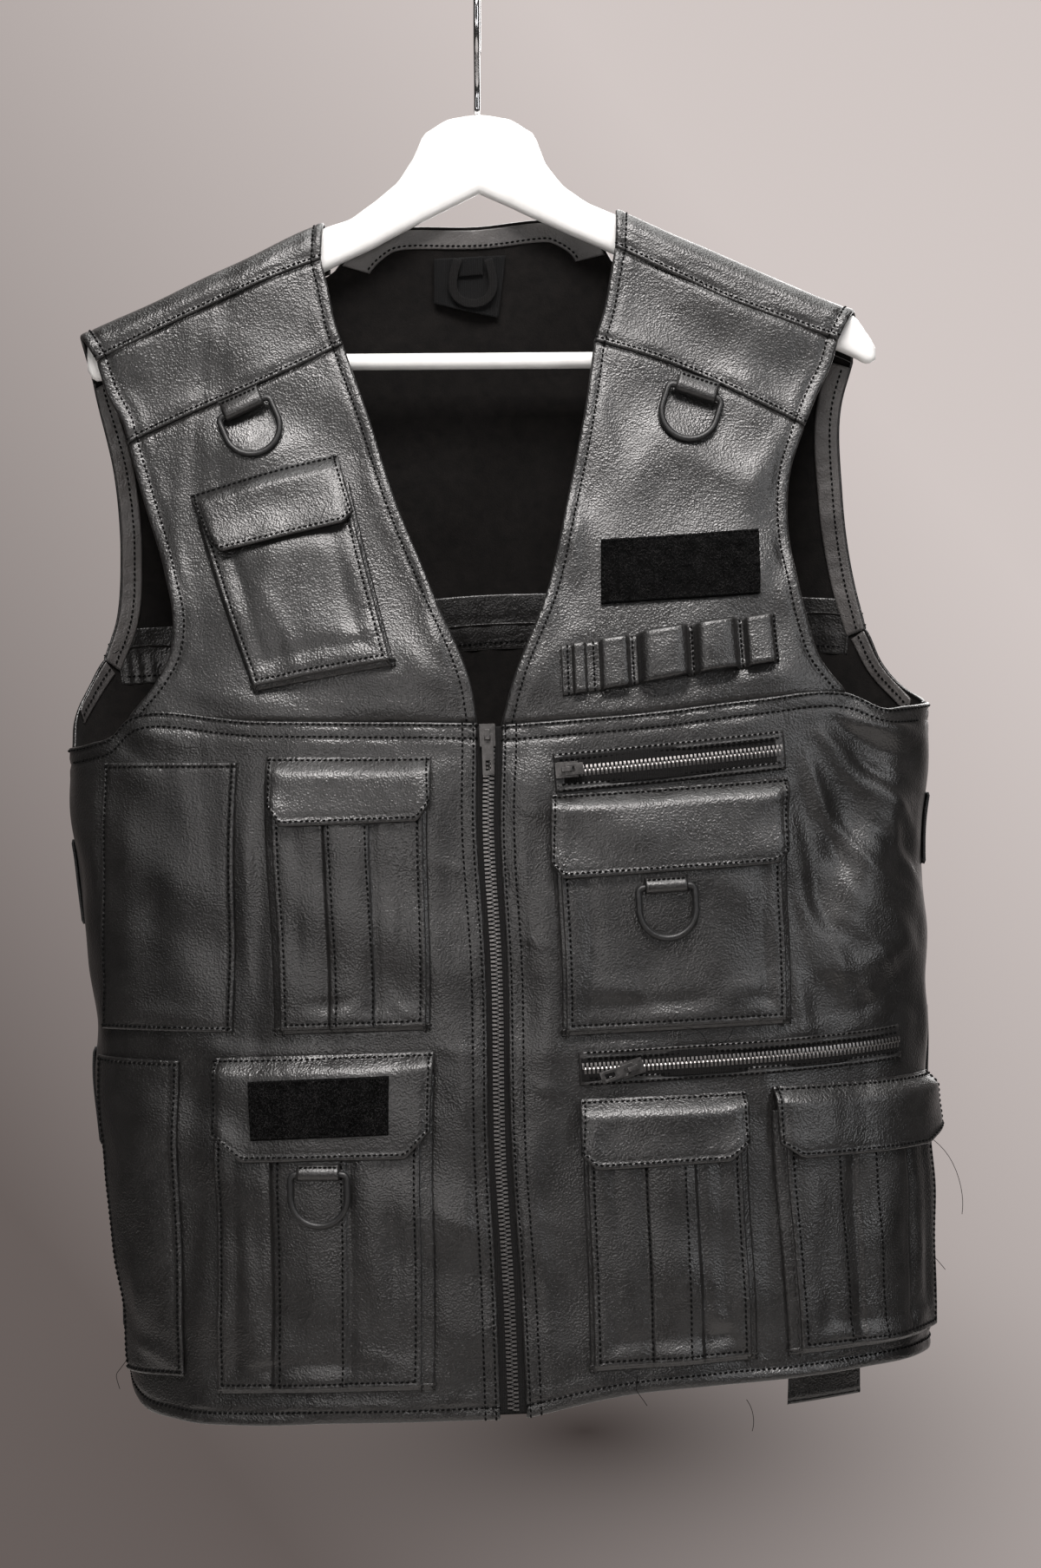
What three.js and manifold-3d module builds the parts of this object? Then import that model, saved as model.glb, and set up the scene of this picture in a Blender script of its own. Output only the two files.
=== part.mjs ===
import * as THREE from 'three';
import Module from 'manifold-3d';

// A leather utility vest hanging on a wooden coat hanger. Millimetres, +Z up, front towards -Y.
// The origin is the top of the inside of the hook, where it sits on a rail.

// Leather: the thickness of the body, of trims, and half the gap at a seam.
const WALL = 2.0;
const TRIM = 1.5;
const SEAM_INSET = 0.25;
// Gaps under flat pieces and under the borders of pockets and flaps.
const LIE = 0.7;
const RIM = 0.95;
// Pockets: how far the face stands out, the strip on it and its step, and the border below and the flap above.
const POCKET_HEIGHT = 6.0;
const STRIP_RAISE = 1.0;
const STRIP_STEP = 1.5;
const STRIP_CLEAR = 0.08;
const POCKET_FOOT = 2.5;
const FLAP_OVER = POCKET_HEIGHT + STRIP_RAISE + 1.0;
const FLAP_BEND = 9;
// The body: radius over the hanger, roundness of its section, and the height where the full section begins.
const ARCH = 12;
const POWER = 2.4;
const FULL_SECTION = -400;
// Beyond both sides, so that a panel ends at the side seam.
const SIDE_L = -400;
const SIDE_R = 400;
// Millimetres along the body for one unit of the chart, and how far from a panel a piece may still follow it.
const METRIC_U = 230;
const LOOSE = 14;

const columns = (names, rows) => rows.map((row) => Object.fromEntries(names.map((name, k) => [name, row[k]])));

// The line of the shoulders over the hanger, from the left armhole to the right one.
const SHOULDER = columns(['x', 'z'], [
  [-252, -215], [-226, -203.5], [-177, -181], [-139, -163], [-98, -143.5], [-62, -130.5], [0, -126.5],
  [51, -123.5], [83, -133], [119, -149], [157, -165], [187, -178.5], [215, -189], [257, -206]]);

// How far the body reaches at each height: to the left, right, front and back of the hanger.
const SECTIONS = columns(['down', 'left', 'right', 'front', 'back'], [
  [130, -235, 256, 60, 55],
  [400, -235, 256, 63, 57],
  [432, -233, 256, 66, 59],
  [478, -229, 252, 70, 61],
  [555, -220, 254, 75, 64],
  [663, -212, 254, 80, 67],
  [725, -203, 255, 83, 69],
  [810, -194, 256, 86, 71]]);

// The largest folds: a soft ridge (or trough, if out is negative) along a line on the front or the back.
const FOLDS = columns(['face', 'x0', 'z0', 'x1', 'z1', 'width', 'out'], [
  ['front', 232, -455, 200, -560, 14, 5],
  ['front', 212, -446, 190, -520, 12, -3],
  ['front', 236, -500, 214, -590, 14, 4],
  ['front', 36, -440, 46, -640, 14, 3],
  ['front', 212, -414, 240, -436, 10, 5],
  ['front', -20, -340, -34, -420, 14, 2],
  ['front', 44, -310, 30, -400, 14, 3],
  ['front', -152, -600, -151, -740, 12, -3],
  ['front', -12, -620, -6, -760, 12, 2],
  ['back', -60, -190, -110, -380, 24, 4],
  ['back', 80, -190, 120, -370, 24, 4],
  ['back', 10, -400, -10, -640, 26, 6],
  ['back', -120, -420, -100, -700, 24, -5],
  ['back', 130, -420, 116, -720, 24, -5],
  ['back', -176, -470, -150, -780, 20, 5],
  ['back', 196, -450, 176, -760, 20, 5],
  ['back', 60, -560, 72, -790, 22, 5]]);

const ARMHOLE_L = [[-215, -219], [-208, -239], [-199, -256], [-196, -267]];
const ARMHOLE_L_LOW = [[-196, -267], [-184, -307], [-174, -340], [-168, -368], [-170, -385], [-178, -402],
  [-194, -422]];
const ARMHOLE_R = [[204, -207], [200, -221], [192, -238], [184, -257]];
const ARMHOLE_R_LOW = [[184, -257], [176, -282], [174, -310], [179, -345], [185, -370], [191, -387], [206, -407]];
const NECK_L = [[-88, -162], [-84, -177], [-79, -200], [-75, -211]];
const NECK_L_LOW = [[-75, -211], [-61, -250], [-45, -299], [-23, -353], [-2, -405], [1, -424]];
const NECK_R = [[78, -155], [75, -172], [72, -189], [66, -209]];
const NECK_R_LOW = [[66, -209], [61, -245], [50, -302], [39, -352], [20, -402], [14, -425]];
const SEAM_A_L = [[-215, -219], [-195, -209.5], [-174, -199], [-152, -188.5], [-131, -179], [-110, -170],
  [-88, -162]];
const SEAM_B_L = [[-196, -267], [-161, -250], [-106, -226], [-75, -211]];
const SEAM_A_R = [[78, -155], [98, -164.5], [119, -174], [140, -184], [161, -192], [182, -199.5], [204, -207]];
const BACK_SEAM_L = [[-84, -166], [-107, -174.5], [-130, -185], [-152, -195], [-175, -206], [-198, -218],
  [-220, -229]];
const BACK_SEAM_R = [[215, -217], [192, -207], [170, -197], [147, -187], [124, -177], [102, -168], [79, -160]];
const SEAM_B_R = [[66, -209], [109, -222], [154, -242], [184, -257]];
const CHEST_L = [[-194, -422], [-118, -423], [1, -424]];
const CHEST_R = [[14, -425], [97, -418], [152, -411], [206, -407]];
const HEM_L = [[SIDE_L, -795], [-184, -806], [-162, -809], [-61, -805], [14, -802]];
const HEM_R = [[28, -801], [73, -791], [175, -782], [226, -778], [SIDE_R, -775]];
const PLACKET_L = [[1, -424], [7, -600], [14, -802]];
const PLACKET_R = [[14, -425], [18, -600], [28, -801]];
const BACK_YOKE = [[225, -368], [120, -363], [0, -364], [-120, -378], [-216, -386]];

const PANELS = {
  front_lower_l: {
    face: 'front', across: 12, down: 12,
    top: [[SIDE_L, -438], [-216, -435], [-203, -431], ...CHEST_L], bottom: HEM_L,
    first: [[SIDE_L, -438], [SIDE_L, -795]], last: PLACKET_L },
  front_lower_r: {
    face: 'front', across: 16, down: 12,
    top: [...CHEST_R, [225, -415], [240, -414], [SIDE_R, -411]], bottom: HEM_R,
    first: PLACKET_R, last: [[SIDE_R, -411], [SIDE_R, -775]] },
  front_upper_l: {
    face: 'front', across: 7, down: 8,
    top: SEAM_B_L, bottom: CHEST_L, first: ARMHOLE_L_LOW, last: NECK_L_LOW },
  front_upper_r: {
    face: 'front', across: 7, down: 8,
    top: SEAM_B_R, bottom: CHEST_R, first: NECK_R_LOW, last: ARMHOLE_R_LOW },
  yoke_l: {
    face: 'front', across: 6, down: 3,
    top: SEAM_A_L, bottom: SEAM_B_L, first: ARMHOLE_L, last: NECK_L },
  yoke_r: {
    face: 'front', across: 6, down: 3,
    top: SEAM_A_R, bottom: SEAM_B_R, first: NECK_R, last: ARMHOLE_R },
  back_upper: {
    face: 'back', across: 18, down: 8,
    top: [...BACK_SEAM_R, [70, -147], [51, -136.5], [0, -139], [-62, -144], [-74, -153], ...BACK_SEAM_L],
    bottom: BACK_YOKE,
    first: [[215, -217], [209, -240], [210, -290], [218, -343], [225, -368]],
    last: [[-220, -229], [-209, -280], [-206, -325], [-209, -365], [-216, -386]] },
  back_lower: {
    face: 'back', across: 20, down: 12,
    top: [[SIDE_R, -411], [245, -401], [234, -387], ...BACK_YOKE, [-224, -401], [-230, -414], [SIDE_L, -438]],
    bottom: [[SIDE_R, -775], [200, -781], [60, -792], [-80, -799], [-170, -799], [SIDE_L, -795]],
    first: [[SIDE_R, -411], [SIDE_R, -775]],
    last: [[SIDE_L, -438], [SIDE_L, -795]] },
};

// Shoulder pieces wrap over the hanger: x along the shoulder, h below the shoulder line on each face.
const SHOULDER_PIECES = {
  shoulder_l: {
    front: SEAM_A_L,
    back: [...BACK_SEAM_L].reverse(),
    armholeTop: -226, neckTop: -87 },
  shoulder_r: {
    front: SEAM_A_R,
    back: [...BACK_SEAM_R].reverse(),
    armholeTop: 215, neckTop: 79 },
};

// Bodies of the pockets: corners of the front face, gusset flare and a raised strip, as shares of the width.
const POCKET_BODIES = columns(['name', 'tl', 'tr', 'br', 'bl', 'flareL', 'flareR', 'strip', 'across', 'down'], [
  ['chest_pocket_body', [-153, -312], [-73, -291], [-47, -391], [-121, -404], 2, 2, null, 3, 3],
  ['box_pocket_body', [-111, -456], [-28, -456], [-27, -589], [-105, -592], 5, 2, [0.36, 0.66], 3, 4],
  ['big_pocket_body', [-140, -621], [-29, -616], [-29, -783], [-139, -789], 2, 6, [0.32, 0.68], 4, 4],
  ['large_pocket_body', [46, -478], [167, -468], [168, -586], [50, -592], 2, 4, null, 5, 4],
  ['pocket_a_body', [61, -642], [143, -638], [149, -768], [65, -773], 2, 4, [0.36, 0.68], 3, 4],
  ['pocket_b_body', [168, -636], [250, -634], [252, -760], [177, -766], 4, 1, [0.33, 0.66], 10, 6]]);

// Flaps: top corners, then the lower edge from left to right with its cut corners.
const FLAPS = columns(['name', 'top', 'low', 'across', 'down'], [
  ['chest_pocket_flap', [[-160, -297], [-77, -274]], [[-146, -326], [-139, -332], [-72, -316], [-67, -309]], 4, 3],
  ['box_pocket_flap', [[-115, -443], [-24, -443]], [[-113, -471], [-105, -482], [-31, -479], [-24, -469]], 4, 3],
  ['big_pocket_flap', [[-144, -608], [-22, -603]], [[-142, -649], [-125, -664], [-37, -661], [-24, -646]], 5, 3],
  ['large_pocket_flap', [[41, -464], [172, -454]], [[41, -502], [48, -510], [162, -502], [170, -495]], 5, 3],
  ['pocket_a_flap', [[57, -629], [148, -625]], [[57, -659], [66, -667], [137, -663], [148, -653]], 4, 3],
  ['pocket_b_flap', [[162, -623], [251, -618]], [[164, -654], [176, -662], [245, -658], [253, -649]], 7, 3]]);

// Flat pieces sewn on: corners on the front, or around the side where side is set, and the layer under them.
const PATCHES = columns(['name', 'face', 'corners', 'base', 'thick', 'across', 'down', 'look'], [
  ['chest_patch', 'front', [[69, -323], [157, -316], [157, -353], [69, -359]], LIE, TRIM, 5, 2, 'hookLoop'],
  ['flat_pocket', 'front', [[-206, -446], [-131, -446], [-133, -594], [-207, -594]], LIE, WALL, 6, 7, 'leather'],
  ['side_pocket', 'front', [[-211, -609], [-163, -610], [-160, -784], [-193, -786]], LIE, WALL, 6, 7, 'leather'],
  ['big_pocket_patch', 'front', [[-122, -620], [-46, -616], [-46, -648], [-120, -652]],
    FLAP_OVER + WALL + LIE, TRIM, 5, 2, 'hookLoop'],
  ['strap_end', 'back', [[222, -740], [182, -742], [181, -822], [222, -812]], LIE, WALL, 3, 4, 'leather']]);

// Webbing bands round the sides: heights, and where they start and end on the chart.
const WEBBING_LIFT = 0.3;
const WEBBING = columns(['name', 'top', 'bottom', 'start', 'end'], [
  ['webbing_l_upper', -489, -537, -0.975, -1.36],
  ['webbing_l_middle', -607, -662, -0.985, -1.36],
  ['webbing_l_lower', -712, -766, -0.99, -1.36],
  ['webbing_r_upper', -462, -503, 0.965, 1.36],
  ['webbing_r_middle', -581, -634, 1.01, 1.36],
  ['webbing_r_lower', -686, -739, 1.01, 1.36]]);

// Inside pieces of the back: corners as seen from the front, and how far in the outer skin lies.
const INSIDE = columns(['name', 'corners', 'base', 'thick', 'across', 'down', 'look'], [
  ['neck_facing', [[-56, -146], [47, -140], [42, -151], [-50, -156]], 2.6, TRIM, 6, 1, 'leather'],
  ['armhole_facing_l', [[-205, -260], [-192, -260], [-193, -374], [-206, -374]], 2.7, TRIM, 1, 6, 'leather'],
  ['armhole_facing_r', [[195, -235], [208, -235], [219, -360], [206, -360]], 2.7, TRIM, 1, 6, 'leather'],
  ['neck_label', [[-25, -157], [16, -155], [12, -190], [-25, -182]], 2.6, 0.8, 2, 2, 'webbing'],
  ['size_tab', [[-11, -156.5], [3, -155.5], [3, -166], [-11, -167]], 3.9, 0.8, 1, 1, 'webbing'],
  ['hang_loop', [[-15, -157], [9, -156], [8, -179], [-14, -180]], 5.2, 1.0, 1, 2, 'webbing']]);

const CARTRIDGE_CORNERS = [[47, -382], [165, -364], [167, -391], [48, -410]];
// Across the strip, in millimetres from its left end: sewn down where rise is 0.
const CARTRIDGE = columns(['at', 'rise', 'lean'], [
  [0, 0, 0], [6, 0, 0], [8.5, 3, 0.6], [11, 3, -0.6], [13.5, 0, 0], [21, 0, 0], [24.5, 5, 1.2], [33.5, 5, -1.2],
  [37, 0, 0], [42, 0, 0], [47, 8, 1.4], [57, 9, 0], [66, 8, -1.4], [70, 0, 0], [73, 0, 0], [77, 8, 1.4],
  [86, 9, 0], [93, 8, -1.4], [97, 0, 0], [101, 0, 0], [105, 5, 1.2], [113, 5, -1.2], [117, 0, 0], [119, 0, 0]]);

// D-rings: the middle of the bar, its slope in degrees and how high the leather lies under it.
const RINGS = columns(['name', 'x', 'z', 'slope', 'base', 'tail', 'open'], [
  ['l', -130, -248, 24, 0, 9, 0.4],
  ['r', 122.5, -239, -18, 0, 9, 0.4],
  ['big', -83.5, -669.5, 1, POCKET_HEIGHT + STRIP_RAISE - 0.5, 5.5, 2.6],
  ['large', 103, -514, 4, POCKET_HEIGHT, 5.5, 2.6]]);
const RING_WIRE = 1.8;
const RING_HALF = 15.6;
const RING_DROP = 28;
const RING_BAR_UP = 4.0;
const RING_REST = 1.1;
const LOOP_WIDTH = 23.5;
const LOOP_PLY = 1.2;
const LOOP_CLEAR = 0.45;

// Zips: the line they follow, half widths of tape and teeth, and the heights of the tape's back, tape and teeth.
const ZIPS = columns(['name', 'line', 'half', 'teeth', 'base', 'thick', 'rise', 'stations'], [
  ['upper_zip', [[44, -452], [169, -439]], 9.5, 3.2, LIE, TRIM, TRIM + 1.2, 8],
  ['lower_zip', [[57.5, -612.5], [234, -600.5]], 7.5, 3.2, LIE, TRIM, TRIM + 1.2, 12],
  ['front_zip', [[7.5, -426], [12.5, -600], [21, -799]], 13, 3, -WALL - 2.4, 1.4, 3.4, 14]]);
const TOOTH_SLANT = 0.4;

// Sliders: place, direction of the pull in degrees (0 is down, 90 is to the right) and the layer under them.
const SLIDERS = columns(['name', 'x', 'z', 'turn', 'pull', 'base'], [
  ['front_zip', 7, -431, 2, 22, -0.6],
  ['upper_zip', 50, -450.5, 95, 9, 4.2],
  ['lower_zip', 85, -612, -72, 18, 4.0]]);
const SLIDER_WIDTH = 8.6;
const SLIDER_LENGTH = 12.4;
const SLIDER_THICK = 2.4;
const BRIDGE_WIDTH = 2.6;
const BRIDGE_HEIGHT = 3.8;
const BRIDGE_WALL = 1.2;
const BRIDGE_REACH = 2.8;
const BRIDGE_SINK = 0.5;
// Pull tabs: the bar under the bridge, the rails beside it, the window, and the slot in a tab that is long enough.
const PULL_GAP = 0.45;
const PULL_THICK = 1.4;
const PULL_WIDTH = 6.4;
const PULL_BAR = 0.8;
const PULL_RAIL = 1.5;
const WINDOW_SPARE = 1.5;
const SLOT_FROM = 8;
const SLOT_TO = 2.4;
const SLOT_SIDE = 1.8;

// The hanger's outline: where top is null the arm follows the shoulder from below.
const HANGER = columns(['x', 'top', 'bottom', 'half'], [
  [-221, -209, -223, 3.5], [-217, null, -229, 5.8], [-185, null, -215, 6.4], [-150, null, -198, 6.5],
  [-118, null, -182, 6.5], [-85, null, -166, 6.5], [-74, -138, -160.5, 6.5], [-62, -130, -155, 6.5],
  [-47, -118, -147, 6.5], [-37.5, -104.5, -142, 6.5], [-29, -88, -137.5, 6.5], [-14, -80, -130, 6.5],
  [1, -78, -122.5, 6.5], [16, -80, -129, 6.5], [31, -88, -136, 6.5], [40, -107.5, -140, 6.5],
  [51, -120, -145, 6.5], [65, -129, -151, 6.5], [80, null, -158, 6.5], [115, null, -173, 6.5],
  [150, null, -188, 6.5], [185, null, -203, 6.5], [213, null, -215, 6.2], [222, -203, -219, 5.5],
  [226, -210, -217, 3.5]]);
const HANGER_UNDER = 3.4;
// The softened edges of the wood: across the arm, and down from its top and up from its underside.
const EDGE_ACROSS = 3.4;
const EDGE_HIGH = 4.6;
const EDGE_LOW = 3.5;
const BAR_RADIUS = 4.7;
const BAR_FROM = [-196, -219];
const BAR_TO = [200, -216];
const HOOK_WIRE = 1.75;
const HOOK_INSIDE = 25.5;
// The hook's stem, from inside the wood up to where the wire bends round: y, z.
const HOOK_STEM = [[0, -77.4], [0, -66], [-3, -60], [-9, -54]];
const HOOK_START = -48;
const HOOK_END = 205;
const HOOK_TURN = 11.5;

const LOOKS = {
  leather: { color: '#1d1b1a', roughness: 0.5, metalness: 0 },
  hookLoop: { color: '#0e0e0f', roughness: 0.95, metalness: 0 },
  webbing: { color: '#131314', roughness: 0.8, metalness: 0 },
  zip: { color: '#2b2b2d', roughness: 0.45, metalness: 0.7 },
  ring: { color: '#111112', roughness: 0.35, metalness: 0.3 },
  wood: { color: '#f1efe9', roughness: 0.4, metalness: 0 },
  chrome: { color: '#c9cccf', roughness: 0.15, metalness: 1 },
};

const group = new THREE.Group();
const clamp = (value, low, high) => Math.min(high, Math.max(low, value));
const mix = (a, b, t) => a + (b - a) * t;

// A smooth curve through the rows of a table, held flat beyond its ends.
function curve(rows, key, value, at) {
  const last = rows.length - 1;
  const spot = clamp(at, rows[0][key], rows[last][key]);
  let k = 0;
  while (k < last - 1 && spot > rows[k + 1][key]) k += 1;
  const step = (i) => rows[i + 1][key] - rows[i][key];
  const slope = (i) => (rows[i + 1][value] - rows[i][value]) / step(i);
  const tangent = (i) => {
    if (i === 0) return slope(0);
    if (i === last) return slope(last - 1);
    return (slope(i - 1) * step(i) + slope(i) * step(i - 1)) / (step(i - 1) + step(i));
  };
  const t = (spot - rows[k][key]) / step(k);
  const t2 = t * t;
  const t3 = t2 * t;
  return (2 * t3 - 3 * t2 + 1) * rows[k][value] + (t3 - 2 * t2 + t) * step(k) * tangent(k)
    + (3 * t2 - 2 * t3) * rows[k + 1][value] + (t3 - t2) * step(k) * tangent(k + 1);
}

const shoulderAt = (x) => curve(SHOULDER, 'x', 'z', x);
const sectionAt = (z, side) => curve(SECTIONS, 'down', side, -z);

function foldAt(face, x, z) {
  let sum = 0;
  for (const fold of FOLDS) {
    if (fold.face !== face) continue;
    const dx = fold.x1 - fold.x0;
    const dz = fold.z1 - fold.z0;
    const t = ((x - fold.x0) * dx + (z - fold.z0) * dz) / (dx * dx + dz * dz);
    const near = clamp(t, 0, 1);
    const gap = Math.hypot(x - fold.x0 - near * dx, z - fold.z0 - near * dz);
    const body = Math.sin(Math.PI * clamp(0.12 + 0.76 * t, 0, 1));
    sum += fold.out * body * Math.exp(-((gap / fold.width) ** 2));
  }
  return sum;
}

// How far in front of (or behind) the hanger the body lies, where share is 1 in the middle and 0 at the sides.
function depthAt(face, x, z, share) {
  const ridge = shoulderAt(x);
  const below = Math.max(ridge - z, 0);
  const arch = below < ARCH ? Math.sqrt(Math.max(2 * ARCH * below - below * below, 0)) : ARCH;
  const t = clamp(below / (ridge - FULL_SECTION), 0, 1);
  const blend = 0.5 * t + 0.5 * t * t * (3 - 2 * t);
  return arch + blend * (sectionAt(z, face) * share - ARCH);
}

// The chart: u runs from -1 (left side) to 1 (right side) on the front and on to 3 on the back.
function chart(face, x, z) {
  const left = sectionAt(z, 'left');
  const right = sectionAt(z, 'right');
  const s = clamp((2 * x - right - left) / (right - left), -1, 1);
  const angle = Math.asin(s) / (Math.PI / 2);
  return [face === 'front' ? angle : 2 - angle, z];
}

function onBody(u, z) {
  const angle = u * Math.PI / 2;
  const left = sectionAt(z, 'left');
  const right = sectionAt(z, 'right');
  const across = Math.sin(angle);
  const share = Math.max(1 - Math.abs(across) ** POWER, 0) ** (1 / POWER);
  const face = Math.cos(angle) >= 0 ? 'front' : 'back';
  const x = (left + right) / 2 + across * (right - left) / 2;
  const depth = depthAt(face, x, z, share);
  return new THREE.Vector3(x, face === 'front' ? -depth : depth, z);
}

function outwards(u, z) {
  const alongU = onBody(u + 0.004, z).sub(onBody(u - 0.004, z));
  const alongZ = onBody(u, z + 0.6).sub(onBody(u, z - 0.6));
  return alongU.cross(alongZ).normalize();
}

function folded(u, z) {
  const point = onBody(u, z);
  const face = Math.cos(u * Math.PI / 2) >= 0 ? 'front' : 'back';
  const quiet = clamp(Math.abs(Math.cos(u * Math.PI / 2)) * 3.5, 0, 1);
  return point.addScaledVector(outwards(u, z), foldAt(face, point.x, z) * quiet);
}

// Splits the longest step of a line until it has the wanted number of steps; its own corners stay.
function steps(line, count, metric) {
  const points = line.map((p) => [...p]);
  while (points.length - 1 < count) {
    let best = 0;
    let longest = -1;
    for (let k = 0; k < points.length - 1; k += 1) {
      const size = Math.hypot((points[k + 1][0] - points[k][0]) * metric, points[k + 1][1] - points[k][1]);
      if (size > longest) {
        longest = size;
        best = k;
      }
    }
    points.splice(best + 1, 0, [0, 1].map((c) => (points[best][c] + points[best + 1][c]) / 2));
  }
  return points;
}

// Fills the inside of four border lines.
function fill(top, bottom, first, last) {
  const across = top.length - 1;
  const down = first.length - 1;
  const grid = [];
  for (let i = 0; i <= down; i += 1) {
    const row = [];
    for (let j = 0; j <= across; j += 1) {
      const a = j / across;
      const b = i / down;
      row.push([0, 1].map((c) => mix(top[j][c], bottom[j][c], b) + mix(first[i][c], last[i][c], a)
        - mix(mix(top[0][c], top[across][c], a), mix(bottom[0][c], bottom[across][c], a), b)));
    }
    grid.push(row);
  }
  return grid;
}

const mapGrid = (grid, make) => grid.map((row, i) => row.map((cell, j) => make(cell, i, j)));

// Draws the border of a skin in by half a seam's gap.
function drawIn(grid, amount) {
  const down = grid.length - 1;
  const across = grid[0].length - 1;
  return mapGrid(grid, (point, i, j) => {
    const ni = i === 0 ? 1 : (i === down ? down - 1 : i);
    const nj = j === 0 ? 1 : (j === across ? across - 1 : j);
    const moved = point.clone();
    if (ni !== i) moved.addScaledVector(grid[ni][j].clone().sub(point).normalize(), amount);
    if (nj !== j) moved.addScaledVector(grid[i][nj].clone().sub(point).normalize(), amount);
    return moved;
  });
}

function geometryOf(points, faces) {
  let volume = 0;
  for (const [a, b, c] of faces) volume += points[a].dot(points[b].clone().cross(points[c]));
  const turned = volume < 0 ? faces.map(([a, b, c]) => [a, c, b]) : faces;
  const geometry = new THREE.BufferGeometry();
  geometry.setAttribute('position', new THREE.Float32BufferAttribute(points.flatMap((p) => [p.x, p.y, p.z]), 3));
  geometry.setIndex(turned.flat());
  geometry.computeVertexNormals();
  return geometry;
}

// A closed sheet between an outer and an inner skin of the same grid.
function sheet(outer, inner) {
  const down = outer.length - 1;
  const across = outer[0].length - 1;
  const size = (down + 1) * (across + 1);
  const at = (i, j, skin) => i * (across + 1) + j + skin * size;
  const faces = [];
  const quad = (a, b, c, d) => faces.push([a, b, c], [a, c, d]);
  for (let i = 0; i < down; i += 1) {
    for (let j = 0; j < across; j += 1) {
      quad(at(i, j, 0), at(i + 1, j, 0), at(i + 1, j + 1, 0), at(i, j + 1, 0));
      faces.push([at(i, j, 1), at(i + 1, j + 1, 1), at(i + 1, j, 1)]);
      faces.push([at(i, j, 1), at(i, j + 1, 1), at(i + 1, j + 1, 1)]);
    }
  }
  for (let j = 0; j < across; j += 1) {
    quad(at(0, j, 0), at(0, j + 1, 0), at(0, j + 1, 1), at(0, j, 1));
    quad(at(down, j, 0), at(down, j, 1), at(down, j + 1, 1), at(down, j + 1, 0));
  }
  for (let i = 0; i < down; i += 1) {
    quad(at(i, 0, 0), at(i, 0, 1), at(i + 1, 0, 1), at(i + 1, 0, 0));
    quad(at(i, across, 0), at(i + 1, across, 0), at(i + 1, across, 1), at(i, across, 1));
  }
  return geometryOf([...outer.flat(), ...inner.flat()], faces);
}

// A closed solid through rings of equal length, capped at both ends or joined end to end.
function loft(rings, joined) {
  const count = rings[0].length;
  const points = rings.flat();
  const faces = [];
  const turns = joined ? rings.length : rings.length - 1;
  for (let i = 0; i < turns; i += 1) {
    const next = (i + 1) % rings.length;
    for (let j = 0; j < count; j += 1) {
      const k = (j + 1) % count;
      const [a, b] = [i * count, next * count];
      faces.push([a + j, a + k, b + k], [a + j, b + k, b + j]);
    }
  }
  if (!joined) {
    const end = (rings.length - 1) * count;
    for (let j = 1; j < count - 1; j += 1) {
      faces.push([0, j + 1, j], [end, end + j, end + j + 1]);
    }
  }
  return geometryOf(points, faces);
}

function add(name, geometry, look) {
  const mesh = new THREE.Mesh(geometry, new THREE.MeshStandardMaterial(LOOKS[look]));
  mesh.name = name;
  group.add(mesh);
}

const charted = [];

function buildPanel(name, panel) {
  const line = (points, count) => steps(points.map(([x, z]) => chart(panel.face, x, z)), count, METRIC_U);
  const flat = fill(line(panel.top, panel.across), line(panel.bottom, panel.across),
    line(panel.first, panel.down), line(panel.last, panel.down));
  const skin = drawIn(mapGrid(flat, ([u, z]) => folded(u, z)), SEAM_INSET);
  const normals = mapGrid(flat, ([u, z]) => outwards(u, z));
  const inner = mapGrid(skin, (point, i, j) => point.clone().addScaledVector(normals[i][j], -WALL));
  charted.push({ flat, skin, normals });
  add(name, sheet(skin, inner), 'leather');
}

// How far a chart point lies from a line between two others, in millimetres.
function reach(u, z, a, b) {
  const du = (b[0] - a[0]) * METRIC_U;
  const dz = b[1] - a[1];
  const t = clamp(((u - a[0]) * METRIC_U * du + (z - a[1]) * dz) / (du * du + dz * dz + 1e-9), 0, 1);
  return Math.hypot((u - a[0]) * METRIC_U - t * du, z - a[1] - t * dz);
}

// A point of the panels as they are built, moved out along the panel's own direction.
function layOn(u, z, out) {
  const turned = u < -1 ? u + 4 : u;
  let best = { far: Infinity };
  for (const panel of charted) {
    for (let i = 0; i < panel.flat.length - 1; i += 1) {
      for (let j = 0; j < panel.flat[0].length - 1; j += 1) {
        for (const corners of [[[i, j], [i + 1, j], [i + 1, j + 1]], [[i, j], [i + 1, j + 1], [i, j + 1]]]) {
          const [a, b, c] = corners.map(([r, s]) => panel.flat[r][s]);
          const area = (b[0] - a[0]) * (c[1] - a[1]) - (c[0] - a[0]) * (b[1] - a[1]);
          if (Math.abs(area) < 1e-9) continue;
          const wb = ((turned - a[0]) * (c[1] - a[1]) - (c[0] - a[0]) * (z - a[1])) / area;
          const wc = ((b[0] - a[0]) * (z - a[1]) - (turned - a[0]) * (b[1] - a[1])) / area;
          const inside = Math.min(wb, wc, 1 - wb - wc) >= -1e-6;
          const far = inside ? 0
            : Math.min(reach(turned, z, a, b), reach(turned, z, b, c), reach(turned, z, c, a));
          if (far < best.far) best = { far, panel, corners, weights: [1 - wb - wc, wb, wc] };
        }
      }
    }
  }
  if (best.far > LOOSE) return onBody(turned, z).addScaledVector(outwards(turned, z), out);
  const point = new THREE.Vector3();
  const normal = new THREE.Vector3();
  best.corners.forEach(([r, s], k) => {
    point.addScaledVector(best.panel.skin[r][s], best.weights[k]);
    normal.addScaledVector(best.panel.normals[r][s], best.weights[k]);
  });
  return point.addScaledVector(normal.normalize(), out);
}

const layFace = (face, x, z, out) => layOn(...chart(face, x, z), out);
const chartAll = (face, points) => points.map(([x, z]) => chart(face, x, z));

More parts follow.
